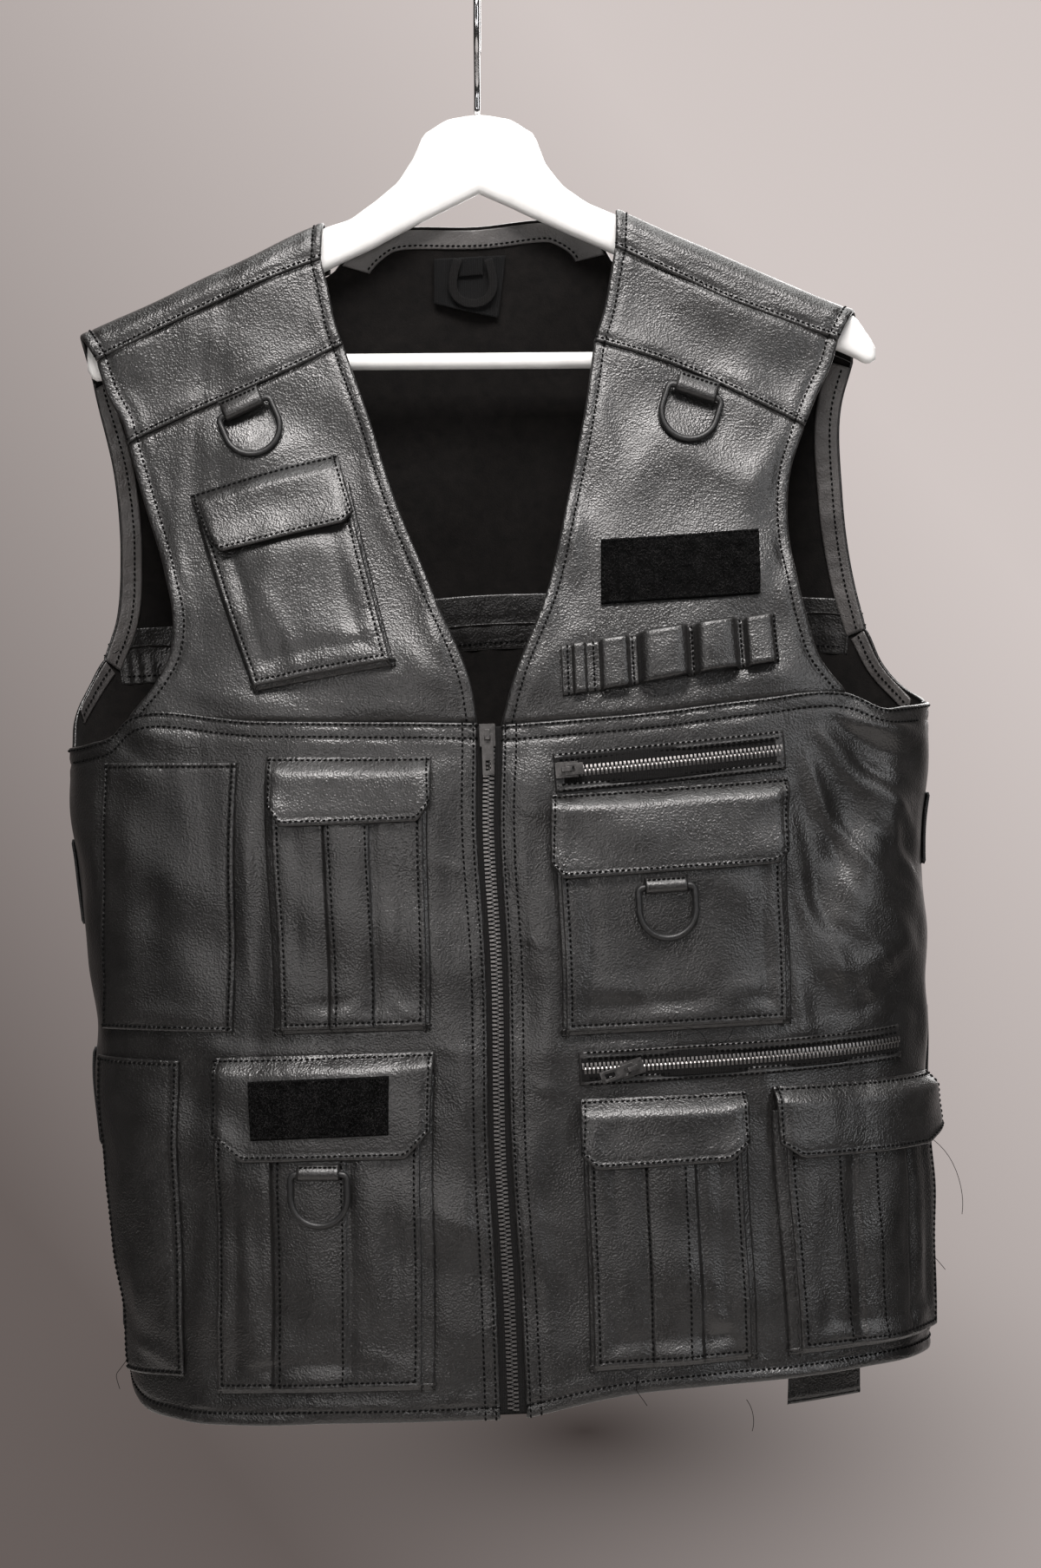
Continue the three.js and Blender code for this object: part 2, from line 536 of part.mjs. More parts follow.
function buildShoulder(name, piece) {
  const overRidge = (face, x, z) => {
    const below = shoulderAt(x) - z;
    const run = below < ARCH ? ARCH * Math.acos(1 - below / ARCH) : below - ARCH + ARCH * Math.PI / 2;
    return [x, face === 'front' ? -run : run];
  };
  const place = (x, run) => {
    const size = Math.abs(run);
    const quarter = ARCH * Math.PI / 2;
    const below = size < quarter ? ARCH * (1 - Math.cos(size / ARCH)) : ARCH + size - quarter;
    const face = run < 0 ? 'front' : 'back';
    const z = shoulderAt(x) - below;
    const left = sectionAt(z, 'left');
    const right = sectionAt(z, 'right');
    const s = clamp(Math.abs(2 * x - right - left) / (right - left), 0, 1);
    const depth = depthAt(face, x, z, (1 - s ** POWER) ** (1 / POWER));
    return new THREE.Vector3(x, run < 0 ? -depth : depth, z);
  };
  const normalAt = (x, run) => place(x + 1, run).sub(place(x - 1, run))
    .cross(place(x, run + 0.8).sub(place(x, run - 0.8))).normalize();
  const front = piece.front.map(([x, z]) => overRidge('front', x, z));
  const back = piece.back.map(([x, z]) => overRidge('back', x, z));
  const first = [front[0], [piece.front[0][0] < 0 ? piece.armholeTop : piece.neckTop, 0], back[0]];
  const last = [front[front.length - 1], [piece.front[0][0] < 0 ? piece.neckTop : piece.armholeTop, 0],
    back[back.length - 1]];
  const flat = fill(front, back, steps(first, 12, 1), steps(last, 12, 1));
  const skin = drawIn(mapGrid(flat, ([x, run]) => place(x, run)), SEAM_INSET);
  const inner = mapGrid(skin, (point, i, j) => {
    const normal = normalAt(...flat[i][j]);
    return point.clone().addScaledVector(normal, -WALL);
  });
  add(name, sheet(skin, inner), 'leather');
}

const blend4 = (corners, s, t) => [0, 1].map((c) => mix(mix(corners[0][c], corners[1][c], s),
  mix(corners[3][c], corners[2][c], s), t));

// A pocket body is a tray on the panel: a front face, gussets down to the panel and an open mouth on top.
function buildPocket(pocket) {
  const corners = chartAll('front', [pocket.tl, pocket.tr, pocket.br, pocket.bl]);
  const width = Math.hypot(pocket.tr[0] - pocket.tl[0], pocket.tr[1] - pocket.tl[1]);
  const height = Math.hypot(pocket.bl[0] - pocket.tl[0], pocket.bl[1] - pocket.tl[1]);
  const cols = [{ s: -pocket.flareL / width, out: RIM, lean: 1 }];
  const marks = new Set([0, 1]);
  for (let k = 1; k < pocket.across; k += 1) marks.add(k / pocket.across);
  if (pocket.strip) {
    for (const mark of [...marks]) {
      if (mark > pocket.strip[0] - STRIP_CLEAR && mark < pocket.strip[1] + STRIP_CLEAR) marks.delete(mark);
    }
    for (const edge of pocket.strip) marks.add(edge);
  }
  const raised = (s) => ({ s, out: POCKET_HEIGHT + STRIP_RAISE, lean: 0 });
  for (const s of [...marks].sort((a, b) => a - b)) {
    const lean = s === 0 ? 1 : (s === 1 ? -1 : 0);
    cols.push({ s, out: POCKET_HEIGHT, lean });
    if (pocket.strip && s === pocket.strip[0]) cols.push(raised(s + STRIP_STEP / width));
    if (pocket.strip && s === pocket.strip[1]) cols.splice(-1, 0, raised(s - STRIP_STEP / width));
  }
  cols.push({ s: 1 + pocket.flareR / width, out: RIM, lean: -1 });
  const rows = [];
  for (let k = 0; k <= pocket.down; k += 1) {
    rows.push({ t: k / pocket.down, low: false, lean: k === pocket.down ? 1 : 0 });
  }
  rows.push({ t: 1 + POCKET_FOOT / height, low: true, lean: 1 });
  const skinAt = (inner) => rows.map((row) => cols.map((col) => {
    const s = col.s + (inner ? col.lean * WALL / width : 0);
    const t = row.t - (inner ? row.lean * WALL / height : 0);
    const low = row.low || col.out === RIM;
    const out = low ? RIM : (inner ? POCKET_HEIGHT - WALL : col.out);
    return layOn(...blend4(corners, s, t), out);
  }));
  add(pocket.name, sheet(skinAt(false), skinAt(true)), 'leather');
}

function buildFlap(flap) {
  const top = steps(chartAll('front', flap.top), flap.across, METRIC_U);
  const low = steps(chartAll('front', flap.low), flap.across, METRIC_U);
  const side = (a, b) => {
    const share = FLAP_BEND / (a[1] - b[1]);
    const line = [a, [mix(a[0], b[0], share), mix(a[1], b[1], share)]];
    for (let k = 1; k < flap.down; k += 1) {
      const t = mix(share, 1, k / (flap.down - 1));
      line.push([mix(a[0], b[0], t), mix(a[1], b[1], t)]);
    }
    return line;
  };
  const flat = fill(top, low, side(top[0], low[0]), side(top[flap.across], low[flap.across]));
  const rise = (i) => (i === 0 ? RIM : FLAP_OVER);
  const skin = (thick) => mapGrid(flat, ([u, z], i) => layOn(u, z, rise(i) + thick));
  add(flap.name, sheet(skin(WALL), skin(0)), 'leather');
}

// A flat piece between four chart corners, from the height base up to its thickness.
function layPiece(name, corners, across, down, base, thick, look) {
  const grid = [];
  for (let i = 0; i <= down; i += 1) {
    const row = [];
    for (let j = 0; j <= across; j += 1) row.push(blend4(corners, j / across, i / down));
    grid.push(row);
  }
  const skin = (out) => mapGrid(grid, ([u, z]) => layOn(u, z, out));
  add(name, sheet(skin(base + thick), skin(base)), look);
}

function buildPatch({ name, face, corners, across, down, base, thick, look }) {
  layPiece(name, chartAll(face, corners), across, down, base, thick, look);
}

function buildWebbing({ name, top, bottom, start, end }) {
  const corners = [[start, top], [end, top], [end, bottom], [start, bottom]];
  layPiece(name, corners, 7, 2, LIE + WEBBING_LIFT, TRIM, 'webbing');
}

function buildCartridges() {
  const last = CARTRIDGE[CARTRIDGE.length - 1].at;
  const skin = (inner) => [0, 0.5, 1].map((t) => CARTRIDGE.map((spot) => {
    const s = (spot.at + (inner ? spot.lean : 0)) / last;
    const [x, z] = blend4(CARTRIDGE_CORNERS, s, t);
    return layFace('front', x, z, LIE + spot.rise + (inner ? 0 : TRIM));
  }));
  add('cartridge_strip', sheet(skin(false), skin(true)), 'leather');
}

// A zip: tape on both sides of a raised row of teeth, along a line.
function buildZip(zip) {
  const { half, teeth, thick, rise } = zip;
  const line = steps(chartAll('front', zip.line), zip.stations, METRIC_U);
  const profile = [[-half, 0], [-half, thick], [-teeth - TOOTH_SLANT, thick], [-teeth, rise], [teeth, rise],
    [teeth + TOOTH_SLANT, thick], [half, thick], [half, 0], [teeth, 0], [-teeth, 0]];
  const rings = line.map(([u, z], k) => {
    const before = onBody(...line[Math.max(k - 1, 0)]);
    const after = onBody(...line[Math.min(k + 1, line.length - 1)]);
    const along = after.sub(before).normalize();
    const normal = outwards(u, z);
    const side = along.clone().cross(normal).normalize();
    const spanU = onBody(u + 0.01, z).sub(onBody(u, z)).length() / 0.01;
    return profile.map(([across, out]) => {
      const dz = side.z * across;
      const dx = Math.sqrt(Math.max(across * across - dz * dz, 0));
      const du = Math.sign(side.x || 1) * Math.sign(across) * dx / spanU;
      return layOn(u + du, z + dz, zip.base + out);
    });
  });
  add(zip.name, loft(rings, false), 'zip');
}

// A local frame on the front: a is across, b is down along the leather, n is outwards.
function frameAt(x, z, slope, base) {
  const spot = layFace('front', x, z, base);
  const n = outwards(...chart('front', x, z));
  const turn = slope * Math.PI / 180;
  const across = new THREE.Vector3(Math.cos(turn), 0, Math.sin(turn));
  const a = across.addScaledVector(n, -across.dot(n)).normalize();
  const b = a.clone().cross(n).normalize();
  if (b.dot(new THREE.Vector3(Math.sin(turn), 0, -Math.cos(turn))) < 0) b.negate();
  return (pa, pb, pn) => spot.clone().addScaledVector(a, pa).addScaledVector(b, pb).addScaledVector(n, pn);
}

// A round wire along points, with the ring of the section spanned by the plane's normal and the side.
function wire(points, radius, sides, normal, joined) {
  const rings = points.map((point, k) => {
    const before = points[joined ? (k + points.length - 1) % points.length : Math.max(k - 1, 0)];
    const after = points[joined ? (k + 1) % points.length : Math.min(k + 1, points.length - 1)];
    const along = after.clone().sub(before).normalize();
    const side = along.clone().cross(normal).normalize();
    const ring = [];
    for (let j = 0; j < sides; j += 1) {
      const angle = (j + 0.5) * 2 * Math.PI / sides;
      ring.push(point.clone().addScaledVector(normal, radius * Math.cos(angle))
        .addScaledVector(side, radius * Math.sin(angle)));
    }
    return ring;
  });
  return loft(rings, joined);
}

// A D-ring's middle line: the straight bar with its rounded corners, then the half circle.
function ringPath() {
  const arc = 12;
  const path = [[-RING_HALF + 3, 0], [RING_HALF - 3, 0], [RING_HALF - 0.9, 0.9], [RING_HALF, 3]];
  for (let k = 0; k <= arc; k += 1) {
    const angle = Math.PI * k / arc;
    path.push([RING_HALF * Math.cos(angle), RING_DROP - RING_HALF + RING_HALF * Math.sin(angle)]);
  }
  path.push([-RING_HALF, 3], [-RING_HALF + 0.9, 0.9]);
  return path;
}

function buildRing(ring) {
  const frame = frameAt(ring.x, ring.z, ring.slope, ring.base);
  const tilt = Math.asin((RING_BAR_UP - RING_WIRE - RING_REST) / RING_DROP);
  const points = ringPath().map(([a, b]) => frame(a, b * Math.cos(tilt), RING_BAR_UP - b * Math.sin(tilt)));
  const origin = frame(0, 0, 0);
  const normal = frame(0, Math.sin(tilt), Math.cos(tilt)).sub(origin).normalize();
  add(`ring_${ring.name}`, wire(points, RING_WIRE, 8, normal, true), 'ring');
  const inner = RING_WIRE + LOOP_CLEAR;
  const outer = inner + LOOP_PLY;
  const turns = 6;
  const around = (radius) => Array.from({ length: turns + 1 }, (_, k) => {
    const angle = Math.PI / 2 - Math.PI * k / turns;
    return [radius * Math.cos(angle), RING_BAR_UP + radius * Math.sin(angle)];
  });
  const back = RING_BAR_UP - outer;
  const profile = [[-ring.tail, back + 2 * LOOP_PLY + ring.open], ...around(outer), [-ring.tail, back],
    [-ring.tail, back + LOOP_PLY], ...around(inner).reverse(), [-ring.tail + 0.1, back + LOOP_PLY + ring.open]];
  const ends = [-LOOP_WIDTH / 2, LOOP_WIDTH / 2].map((a) => profile.map(([b, n]) => frame(a, b, n)));
  const contour = profile.map(([b, n]) => new THREE.Vector2(b, n));
  const caps = THREE.ShapeUtils.triangulateShape(contour, []);
  const count = profile.length;
  const faces = [];
  for (const [p, q, r] of caps) faces.push([p, q, r], [count + p, count + r, count + q]);
  for (let j = 0; j < count; j += 1) {
    const k = (j + 1) % count;
    faces.push([j, count + j, count + k], [j, count + k, k]);
  }
  add(`ring_loop_${ring.name}`, geometryOf(ends.flat(), orient(faces)), 'leather');
}

// Turns every face the same way round by walking over shared edges.
function orient(faces) {
  const owner = new Map();
  faces.forEach((face, index) => {
    for (let k = 0; k < 3; k += 1) {
      const key = [face[k], face[(k + 1) % 3]].sort((a, b) => a - b).join('_');
      if (!owner.has(key)) owner.set(key, []);
      owner.get(key).push(index);
    }
  });
  const done = new Set([0]);
  const queue = [0];
  const result = faces.map((f) => [...f]);
  while (queue.length) {
    const current = queue.pop();
    const face = result[current];
    for (let k = 0; k < 3; k += 1) {
      const from = face[k];
      const to = face[(k + 1) % 3];
      for (const other of owner.get([from, to].sort((a, b) => a - b).join('_'))) {
        if (done.has(other)) continue;
        const next = result[other];
        for (let m = 0; m < 3; m += 1) {
          if (next[m] === from && next[(m + 1) % 3] === to) {
            result[other] = [next[0], next[2], next[1]];
            break;
          }
        }
        done.add(other);
        queue.push(other);
      }
    }
  }
  return result;
}

const wasm = await Module();
wasm.setup();

function solidOf(geometry) {
  const position = geometry.getAttribute('position');
  return new wasm.Manifold(new wasm.Mesh({
    numProp: 3,
    vertProperties: new Float32Array(position.array),
    triVerts: new Uint32Array(geometry.getIndex().array) }));
}

function meshOf(solid) {
  const mesh = solid.getMesh();
  const geometry = new THREE.BufferGeometry();
  geometry.setAttribute('position', new THREE.BufferAttribute(new Float32Array(mesh.vertProperties), 3));
  geometry.setIndex(new THREE.BufferAttribute(new Uint32Array(mesh.triVerts), 1));
  geometry.computeVertexNormals();
  return geometry;
}

// A block in a local frame, from its low corner to its high corner.
function block(frame, low, high) {
  const corner = (i, j, k) => frame(i ? high[0] : low[0], j ? high[1] : low[1], k ? high[2] : low[2]);
  const ring = (k) => [corner(0, 0, k), corner(1, 0, k), corner(1, 1, k), corner(0, 1, k)];
  return loft([ring(0), ring(1)], false);
}

const unite = (parts) => parts.map(solidOf).reduce((all, part) => all.add(part));

// A slider's body with the bridge that holds its pull tab, and the tab with the window round the bridge.
function buildSlider(slider) {
  const frame = frameAt(slider.x, slider.z, slider.turn, slider.base);
  const half = SLIDER_LENGTH / 2;
  const top = SLIDER_THICK + BRIDGE_HEIGHT;
  const foot = SLIDER_THICK - BRIDGE_SINK;
  const wide = BRIDGE_WIDTH / 2;
  const reach = BRIDGE_REACH;
  const body = unite([
    block(frame, [-SLIDER_WIDTH / 2, -half, 0], [SLIDER_WIDTH / 2, half, SLIDER_THICK]),
    block(frame, [-wide, -reach, foot], [wide, -reach + BRIDGE_WALL, top]),
    block(frame, [-wide, reach - BRIDGE_WALL, foot], [wide, reach, top]),
    block(frame, [-wide, -reach, top - BRIDGE_WALL], [wide, reach, top])]);
  add(`${slider.name}_slider`, meshOf(body), 'zip');
  const low = SLIDER_THICK + PULL_GAP;
  const high = low + PULL_THICK;
  const wing = PULL_WIDTH / 2;
  const windowEnd = reach + WINDOW_SPARE;
  let pull = unite([
    block(frame, [-wing, -PULL_BAR, low], [wing, PULL_BAR, high]),
    block(frame, [-wing, -PULL_BAR, low], [-wing + PULL_RAIL, windowEnd + 1, high]),
    block(frame, [wing - PULL_RAIL, -PULL_BAR, low], [wing, windowEnd + 1, high]),
    block(frame, [-wing, windowEnd, low], [wing, slider.pull, high])]);
  if (slider.pull > SLOT_FROM + SLOT_TO) {
    const side = wing - SLOT_SIDE;
    const slot = block(frame, [-side, slider.pull - SLOT_FROM, low - 1], [side, slider.pull - SLOT_TO, high + 1]);
    pull = pull.subtract(solidOf(slot));
  }
  add(`${slider.name}_pull`, meshOf(pull), 'zip');
}

function buildHanger() {
  const rings = HANGER.map((row) => {
    const top = row.top === null ? shoulderAt(row.x) - HANGER_UNDER : row.top;
    const edge = row.half - EDGE_ACROSS;
    const low = Math.min(EDGE_LOW, (top - row.bottom) * 0.3);
    return [[edge, top], [row.half, top - EDGE_HIGH], [row.half, row.bottom + low], [edge, row.bottom],
      [-edge, row.bottom], [-row.half, row.bottom + low], [-row.half, top - EDGE_HIGH], [-edge, top]]
      .map(([y, z]) => new THREE.Vector3(row.x, y, z));
  });
  const ends = [BAR_FROM, BAR_TO].map(([x, z]) => new THREE.Vector3(x, 0, z));
  const bar = wire(ends, BAR_RADIUS, 12, new THREE.Vector3(0, 1, 0), false);
  add('hanger', meshOf(unite([loft(rings, false), bar])), 'wood');
}

function buildHook() {
  const radius = HOOK_INSIDE + HOOK_WIRE;
  const points = HOOK_STEM.map(([y, z]) => new THREE.Vector3(0, y, z));
  for (let angle = HOOK_START; angle <= HOOK_END; angle += HOOK_TURN) {
    const turn = angle * Math.PI / 180;
    points.push(new THREE.Vector3(0, -radius * Math.cos(turn), -HOOK_INSIDE + radius * Math.sin(turn)));
  }
  add('hanger_hook', wire(points, HOOK_WIRE, 8, new THREE.Vector3(1, 0, 0), false), 'chrome');
}

for (const [name, panel] of Object.entries(PANELS)) buildPanel(name, panel);
for (const [name, piece] of Object.entries(SHOULDER_PIECES)) buildShoulder(name, piece);
for (const pocket of POCKET_BODIES) buildPocket(pocket);
for (const flap of FLAPS) buildFlap(flap);
for (const patch of PATCHES) buildPatch(patch);
for (const piece of INSIDE) {
  buildPatch({ ...piece, face: 'back', base: -piece.base - piece.thick });
}
for (const band of WEBBING) buildWebbing(band);
buildCartridges();
for (const ring of RINGS) buildRing(ring);
for (const zip of ZIPS) buildZip(zip);
for (const slider of SLIDERS) buildSlider(slider);
buildHanger();
buildHook();

export default group;
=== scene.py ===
import math

import bpy
import numpy as np
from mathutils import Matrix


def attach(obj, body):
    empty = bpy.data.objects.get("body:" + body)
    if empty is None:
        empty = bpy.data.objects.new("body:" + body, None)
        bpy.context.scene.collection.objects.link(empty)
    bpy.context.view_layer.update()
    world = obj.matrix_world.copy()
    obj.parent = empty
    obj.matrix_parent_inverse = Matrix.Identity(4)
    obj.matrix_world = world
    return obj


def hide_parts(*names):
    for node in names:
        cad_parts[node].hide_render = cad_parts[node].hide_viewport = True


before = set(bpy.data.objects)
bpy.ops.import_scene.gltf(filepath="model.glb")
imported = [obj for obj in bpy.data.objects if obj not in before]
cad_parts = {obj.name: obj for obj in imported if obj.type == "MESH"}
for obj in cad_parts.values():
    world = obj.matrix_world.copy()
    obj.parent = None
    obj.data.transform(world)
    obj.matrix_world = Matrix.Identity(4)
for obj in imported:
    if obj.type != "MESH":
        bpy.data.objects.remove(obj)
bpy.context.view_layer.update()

# Lengths are millimetres until a mesh is made. +Z is up and the front looks towards -Y.
MM = 0.001
# The borders of a grid, and the order in which small pieces are sewn all around.
BORDERS = ("top", "bottom", "first", "last")
ALL_AROUND = ("first", "last", "bottom", "top")
random_numbers = np.random.default_rng(11)

# The body: how round it lies over the hanger, where its section is full, and the shape of its sections.
ARCH = 12.0
FULL_SECTION = -400.0
POWER = 2.4
# Places beyond the body's sides, which the chart brings back to them.
SIDE_L = -400.0
SIDE_R = 400.0
# About how many millimetres one unit of u is.
METRIC_U = 230.0
# The thickness of the leather, and the widest grid steps on its panels.
HIDE = 1.5
FRONT_STEP = 2.6
BACK_STEP = 3.9

# Stitches: from one to the next, their length and radius, and how far they are pulled in.
STITCH_PITCH = 3.05
STITCH_SIZE = 2.0
STITCH_RADIUS = 0.6
STITCH_SINK = 0.05

# Pockets: how far they lie off the panel, their height, their grid step, and on their face the width of the
# lip outside the gusset and the distance of the stitches.
RIM = 0.5
POCKET_HEIGHT = 6.0
POCKET_STEP = 2.3
POCKET_LIP = 0.5
POCKET_ROW = 2.7

# Flaps: how far they stand out, the length of their bend, how far the low edge tips out, and their stitches.
FLAP_OVER = 8.0
FLAP_BEND = 9.0
FLAP_TILT = 1.8
FLAP_ROW = 3.2

# The fibres on each patch of hook-and-loop.
FIBRE_COUNT = 2900
FIBRE_SIZE = 1.6
FIBRE_THICK = 0.13

# From one tooth of a zip to the next on its own side.
TOOTH_PITCH = 2.3


def columns(names, rows):
    return {name: np.array([row[k] for row in rows], float) for k, name in enumerate(names)}


SHOULDER = columns(("x", "z"), [
    (-252, -215), (-226, -203.5), (-177, -181), (-139, -163), (-98, -143.5), (-62, -130.5), (0, -126.5),
    (51, -123.5), (83, -133), (119, -149), (157, -165), (187, -178.5), (215, -189), (257, -206)])

# How far the body reaches at each height: to the left, right, front and back of the hanger.
SECTIONS = columns(("down", "left", "right", "front", "back"), [
    (130, -235, 256, 60, 55), (400, -235, 256, 63, 57), (432, -233, 256, 66, 59), (478, -229, 252, 70, 61),
    (555, -220, 254, 75, 64), (663, -212, 254, 80, 67), (725, -203, 255, 83, 69), (810, -194, 256, 86, 71)])

# The largest folds, the same as the solids have: x0, z0, x1, z1, width, how far out, bend of the line.
FRONT_FOLDS = [
    (232, -455, 200, -560, 14, 5, 0), (212, -446, 190, -520, 12, -3, 0), (236, -500, 214, -590, 14, 4, 0),
    (36, -440, 46, -640, 14, 3, 0), (212, -414, 240, -436, 10, 5, 0), (-20, -340, -34, -420, 14, 2, 0),
    (44, -310, 30, -400, 14, 3, 0), (-152, -600, -151, -740, 12, -3, 0), (-12, -620, -6, -760, 12, 2, 0)]
BACK_FOLDS = [
    (-60, -190, -110, -380, 24, 4, 0), (80, -190, 120, -370, 24, 4, 0), (10, -400, -10, -640, 26, 6, 0),
    (-120, -420, -100, -700, 24, -5, 0), (130, -420, 116, -720, 24, -5, 0),
    (-176, -470, -150, -780, 20, 5, 0), (196, -450, 176, -760, 20, 5, 0), (60, -560, 72, -790, 22, 5, 0)]

# Creases placed on the front: the same columns as the folds.
FRONT_CREASES = [
    (30, -436, 34, -560, 6, 1.6, 5), (38, -520, 30, -700, 7, 1.3, -4), (26, -600, 36, -770, 6, 1.2, 3),
    (33, -700, 44, -796, 6, 1.3, -3), (24, -448, 26, -520, 4, 1.0, 2), (178, -458, 150, -470, 5, 0.9, 0),
    (190, -428, 236, -470, 4.5, 2.2, 6), (196, -420, 244, -445, 4, -1.8, 4),
    (205, -424, 250, -432, 4, 1.8, -3), (182, -440, 214, -500, 5, 1.8, 6),
    (180, -462, 196, -540, 5, -1.6, 4), (186, -452, 240, -520, 5, 1.6, 8),
    (190, -560, 240, -545, 6, 1.5, 4), (196, -590, 238, -560, 5, -1.4, 3),
    (176, -560, 182, -600, 5, 1.3, 0), (210, -470, 252, -500, 5, -1.5, 4),
    (222, -520, 252, -560, 6, 1.6, 0), (178, -520, 208, -590, 5, 1.4, -5),
    (-21, -450, -18, -600, 7, 1.4, 3), (-14, -560, -6, -700, 7, 1.3, -4), (-18, -640, -12, -790, 7, 1.5, 3),
    (-118, -440, -120, -600, 5, -1.2, 0), (-122, -450, -124, -590, 5, 1.2, 3),
    (-150, -602, -90, -604, 5, 1.3, 3), (-148, -620, -150, -780, 6, 1.5, 0),
    (-230, -460, -214, -560, 7, 2.0, 4), (-226, -520, -210, -640, 7, -2.0, 3),
    (-214, -600, -200, -760, 7, 1.8, 4), (-110, -798, 0, -794, 5, 1.0, 2),
    (40, -790, 150, -778, 5, 1.1, -3), (160, -640, 160, -770, 5, -1.4, 0),
    (156, -606, 162, -640, 5, 1.2, 0), (30, -604, 240, -590, 6, 0.9, 3), (-60, -252, -40, -330, 7, 1.1, 4),
    (-30, -330, -12, -404, 6, 1.2, 4), (-168, -300, -176, -400, 7, 1.2, -4),
    (-165, -404, -100, -414, 6, 1.0, 3), (-90, -412, -20, -416, 5, 1.0, 2),
    (-40, -380, -8, -414, 5, 1.1, 2), (62, -232, 74, -300, 7, 1.1, -4), (52, -300, 62, -360, 6, 1.2, 3),
    (172, -262, 150, -310, 7, 1.2, 4), (172, -320, 164, -352, 5, -1.0, 0), (58, -372, 30, -410, 5, 1.1, 3),
    (176, -396, 120, -412, 6, 1.1, 3), (100, -255, 160, -290, 8, 0.9, 6),
    (-150, -272, -90, -262, 8, 0.9, 4), (-192, -425, -150, -436, 5, 1.3, 3),
    (-200, -432, -170, -450, 4, -1.1, 2), (22, -410, 40, -432, 4, 1.0, 0),
    (196, -416, 236, -432, 3, 1.3, 2), (188, -430, 214, -452, 3, 1.2, -2),
    (206, -438, 246, -462, 3, -1.3, 3), (214, -452, 246, -486, 3, 1.2, -3),
    (184, -446, 200, -486, 3, 1.1, 3), (196, -470, 214, -520, 3.2, -1.2, 4),
    (228, -470, 250, -520, 3.4, 1.2, 3), (200, -530, 236, -570, 3.4, 1.0, -4),
    (180, -500, 190, -560, 3.2, 1.0, 3), (206, -560, 246, -590, 3.2, 1.0, 3),
    (24, -470, 40, -478, 2.8, 0.7, 0), (25, -540, 42, -548, 2.8, 0.7, 0), (28, -620, 46, -626, 2.8, 0.7, 0),
    (30, -690, 46, -700, 2.8, 0.7, 0), (-40, -430, -10, -436, 2.8, 0.6, 0),
    (-24, -500, -4, -506, 2.8, 0.6, 0), (-22, -600, -2, -606, 2.8, 0.7, 0),
    (-20, -690, 0, -700, 2.8, 0.7, 0), (-212, -450, -206, -560, 3.4, 1.0, 3),
    (-128, -470, -124, -560, 3.2, 0.9, -2), (-120, -604, -60, -600, 3, 0.8, 2),
    (60, -600, 130, -596, 3, 0.7, 2), (150, -600, 226, -584, 3, 0.8, -2), (150, -780, 230, -772, 3, 0.8, 2),
    (-120, -800, -40, -797, 3, 0.7, -2)]
BACK_CREASES = [
    (-190, -250, -120, -300, 8, 1.6, 8), (190, -240, 120, -290, 8, 1.6, -8),
    (-200, -330, -110, -350, 8, 1.4, 6), (200, -320, 100, -346, 8, 1.4, -6),
    (-80, -200, -40, -350, 9, 1.6, 8), (60, -190, 40, -340, 9, 1.5, -8), (0, -170, 4, -300, 9, 1.0, 5),
    (-40, -390, -60, -560, 8, 1.7, 8), (50, -380, 40, -560, 8, 1.7, -6),
    (-150, -400, -140, -520, 8, 1.8, 5), (160, -390, 150, -520, 8, 1.8, -5),
    (-190, -430, -120, -470, 7, 2.0, 6), (216, -420, 140, -460, 7, 2.0, -6),
    (-210, -450, -160, -540, 7, -1.8, 5), (230, -440, 180, -530, 7, -1.8, 5),
    (-60, -560, -40, -740, 9, 1.8, 6), (90, -420, 80, -600, 8, 1.6, 6), (130, -600, 140, -770, 8, 1.8, -5),
    (-120, -640, -130, -780, 8, 1.7, 5), (20, -640, 10, -790, 8, -1.6, 4), (-20, -700, 60, -780, 7, 1.3, 5),
    (170, -640, 220, -700, 7, 1.5, 4), (-180, -600, -120, -650, 7, 1.5, -4),
    (-200, -700, -150, -740, 7, 1.3, 3), (-20, -420, 60, -440, 7, 1.0, 4), (-90, -770, 20, -780, 6, 1.0, 3),
    (100, -775, 190, -765, 6, 1.0, -3)]

ARMHOLE_L = [(-215, -219), (-208, -239), (-199, -256), (-196, -267)]
ARMHOLE_L_LOW = [
    (-196, -267), (-184, -307), (-174, -340), (-168, -368), (-170, -385), (-178, -402), (-194, -422)]
ARMHOLE_R = [(204, -207), (200, -221), (192, -238), (184, -257)]
ARMHOLE_R_LOW = [(184, -257), (176, -282), (174, -310), (179, -345), (185, -370), (191, -387), (206, -407)]
NECK_L = [(-88, -162), (-84, -177), (-79, -200), (-75, -211)]
NECK_L_LOW = [(-75, -211), (-61, -250), (-45, -299), (-23, -353), (-2, -405), (1, -424)]
NECK_R = [(78, -155), (75, -172), (72, -189), (66, -209)]
NECK_R_LOW = [(66, -209), (61, -245), (50, -302), (39, -352), (20, -402), (14, -425)]
SEAM_A_L = [
    (-215, -219), (-195, -209.5), (-174, -199), (-152, -188.5), (-131, -179), (-110, -170), (-88, -162)]
SEAM_B_L = [(-196, -267), (-161, -250), (-106, -226), (-75, -211)]
SEAM_A_R = [(78, -155), (98, -164.5), (119, -174), (140, -184), (161, -192), (182, -199.5), (204, -207)]
BACK_SEAM_L = [
    (-84, -166), (-107, -174.5), (-130, -185), (-152, -195), (-175, -206), (-198, -218), (-220, -229)]
BACK_SEAM_R = [(215, -217), (192, -207), (170, -197), (147, -187), (124, -177), (102, -168), (79, -160)]
SEAM_B_R = [(66, -209), (109, -222), (154, -242), (184, -257)]
CHEST_L = [(-194, -422), (-118, -423), (1, -424)]
CHEST_R = [(14, -425), (97, -418), (152, -411), (206, -407)]
